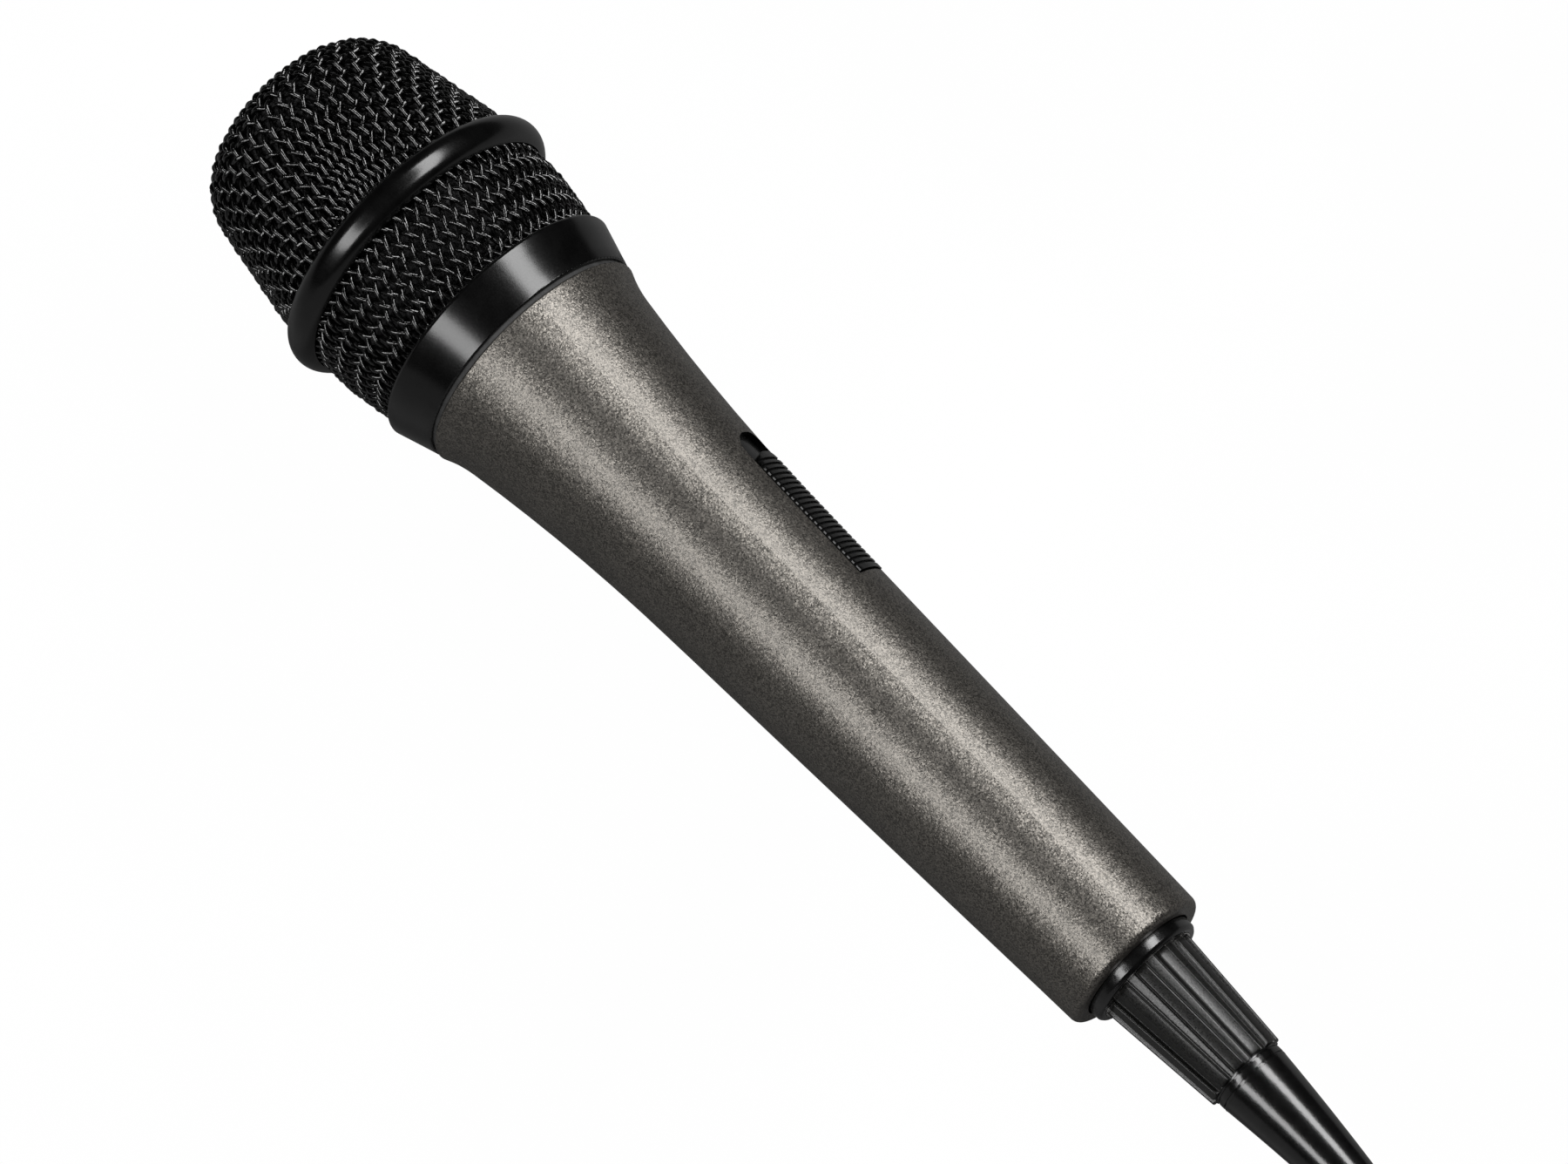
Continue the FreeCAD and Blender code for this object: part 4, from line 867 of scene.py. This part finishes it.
def strap_loops(line, lift, widths, closed):
    """Rings of points round a strap whose skin-side line is given, in the row's metres."""
    pressed_below, pressed = STRAP_PRESSED
    flat, full = STRAP_SQUARE
    edge, thicker = STRAP_SELVEDGE
    loops = []
    count = len(line)
    for k, (y, z) in enumerate(line):
        if closed:
            before, after = line[k - 1], line[(k + 1) % count]
        else:
            before, after = line[max(k - 1, 0)], line[min(k + 1, count - 1)]
        along = Vector((after[0] - before[0], after[1] - before[1])).normalized()
        out = Vector((-along.y, along.x))
        from_middle = abs(y - HANK_Y) / STRAP_SPAN
        sags = z > STRAP_UPPER and from_middle < 1.0
        dip = STRAP_DIP * math.cos(from_middle * math.pi / 2) if sags else 0.0
        half = STRAP_THICK / 2 * (1.0 if z > pressed_below else pressed)
        ribbed = STRAP_RIB if k % 2 else 0.0
        loop = []
        for n in range(STRAP_ROUND):
            turn = 2 * math.pi * n / STRAP_ROUND
            across = math.copysign(abs(math.cos(turn)) ** flat, math.cos(turn)) * widths[k]
            height = math.copysign(abs(math.sin(turn)) ** full, math.sin(turn)) * (half - ribbed)
            if abs(across) > widths[k] - edge:
                height *= thicker
            level = half + lift + height
            loop.append(Vector((STRAP_X + across, y + out.x * level, z + out.y * level - dip)) * MM)
        loops.append(loop)
    return loops


def tie_strap():
    """The hook-and-loop strap round the hank, and its free end laid back over the top."""
    shape = [], []
    line = evenly(strap_path(), STRAP_STEP)
    add_loops(shape, strap_loops(line, 0.0, [STRAP_HALF] * len(line), True))
    top = STRAP_LEVELS[1]
    flap = evenly([(STRAP_FLAP[0], top), (STRAP_FLAP[1], top)], STRAP_STEP, closed=False)
    widths = []
    for y, _ in flap:
        ends = min(y - STRAP_FLAP[0], STRAP_FLAP[1] - y)
        rounded = min(ends / STRAP_TIP, 1.0)
        bulge = math.sqrt(max(0.0, 1.0 - (1.0 - rounded) ** 2))
        widths.append(STRAP_HALF - STRAP_TIP + STRAP_TIP * bulge)
    flap.reverse()
    widths.reverse()
    add_loops(shape, strap_loops(flap, STRAP_THICK, widths, False), closed=False)
    new_piece("tie_strap", "plug", "tie_fabric", *shape, ["cord_tie"])


foam_liner()
tie_strap()


# ---------------------------------------------------------------- CAD nodes that stay

ROUNDED = {                            # radius of the rounded edges
    "grille_collar": 0.22, "plug_flange": 0.2, "plug_collar": 0.15,
    "switch_slider": 0.22, "jack_handle": 0.3, "jack_boot": 0.2}
GLOSSIER = {"plug_flange": "boot_vinyl", "plug_collar": "boot_vinyl"}
ROUNDED_FROM = math.radians(32.0)      # least angle between the faces at such an edge


def finish_nodes():
    """Gives every CAD node the material of its slot, and rounds the edges of those outside."""
    slots = {part["node"]: part["material_slot"] for part in frame["record"]["subparts"]}
    for name, node in frame["nodes"].items():
        node.data.materials.clear()
        node.data.materials.append(MATERIALS[GLOSSIER.get(name, slots[name])])
    for name, width in ROUNDED.items():
        node = frame["nodes"][name]
        joined = node.modifiers.new("join", "WELD")
        joined.merge_threshold = 0.001 * MM
        edge = node.modifiers.new("edge", "BEVEL")
        edge.width = width * MM
        edge.segments = 3
        edge.limit_method = "ANGLE"
        edge.angle_limit = ROUNDED_FROM
        edge.harden_normals = True


finish_nodes()


# ---------------------------------------------------------------- floor, light and camera

FLOOR_HALF = 3.0                       # metres, like all in this section but the stations
LIGHT_AWAY = 0.7                       # from the microphone's axis
LIGHT_LENGTH = 0.9
LENS = 150.0                           # in millimetres, on a sensor 36 mm wide
CAMERA_AT = Vector((-0.36212, 0.34912, 0.97259))
CAMERA_WAY = Vector((0.34823, -0.32577, -0.87898))


def floor():
    """The plain pale floor under the microphone and its lead."""
    half = FLOOR_HALF
    mesh = bpy.data.meshes.new("floor")
    mesh.from_pydata([(-half, -half, 0), (half, -half, 0), (half, half, 0), (-half, half, 0)], [],
                     [(0, 1, 2, 3)])
    mesh.materials.append(floor_surface("pale_floor"))
    plane = new_object("floor", mesh)


def strip_light(name, angle, station, width, radiance):
    """A long soft box parallel to the microphone's axis, at a polar angle round it in degrees."""
    side, up = polar(LIGHT_AWAY, math.radians(angle))
    light = bpy.data.lights.new(name, "AREA")
    light.shape = "RECTANGLE"
    light.size, light.size_y = LIGHT_LENGTH, width
    light.energy = radiance * math.pi * LIGHT_LENGTH * width
    place = MIC @ Vector((station, side / MM, up / MM))
    away = (place - MIC @ Vector((station, 0.0, 0.0))).normalized()
    along = (MIC.to_3x3() @ Vector((1.0, 0.0, 0.0))).normalized()
    facing = Matrix((along, away.cross(along), away)).transposed().to_4x4()
    new_object(name, light).matrix_world = Matrix.Translation(place) @ facing


def world_light(pale, dim):
    """A pale surround where it is seen, which lights the object only dimly."""
    world = bpy.data.worlds.new("studio")
    world.use_nodes = True
    tree = world.node_tree
    seen = add(tree, "LightPath").outputs["Is Camera Ray"]
    glow = ramp(tree, seen, (dim,) * 3, (pale,) * 3, 0.0, 1.0)
    tree.links.new(glow, tree.nodes["Background"].inputs["Color"])
    bpy.context.scene.world = world


def camera():
    """A long lens from above the tail's left, level with the horizon."""
    data = bpy.data.cameras.new("camera")
    data.lens = LENS
    data.sensor_width = 36.0
    data.clip_start, data.clip_end = 0.01, 20.0
    eye = new_object("camera", data)
    eye.location = CAMERA_AT
    eye.rotation_mode = "QUATERNION"
    eye.rotation_quaternion = CAMERA_WAY.to_track_quat("-Z", "Y")
    bpy.context.scene.camera = eye


floor()
strip_light("strip_right", angle=26.0, station=60.0, width=0.24, radiance=12.0)
strip_light("strip_left", angle=-50.0, station=100.0, width=0.21, radiance=8.8)
world_light(pale=0.96, dim=0.02)
camera()
bpy.context.scene.view_settings.view_transform = "Standard"
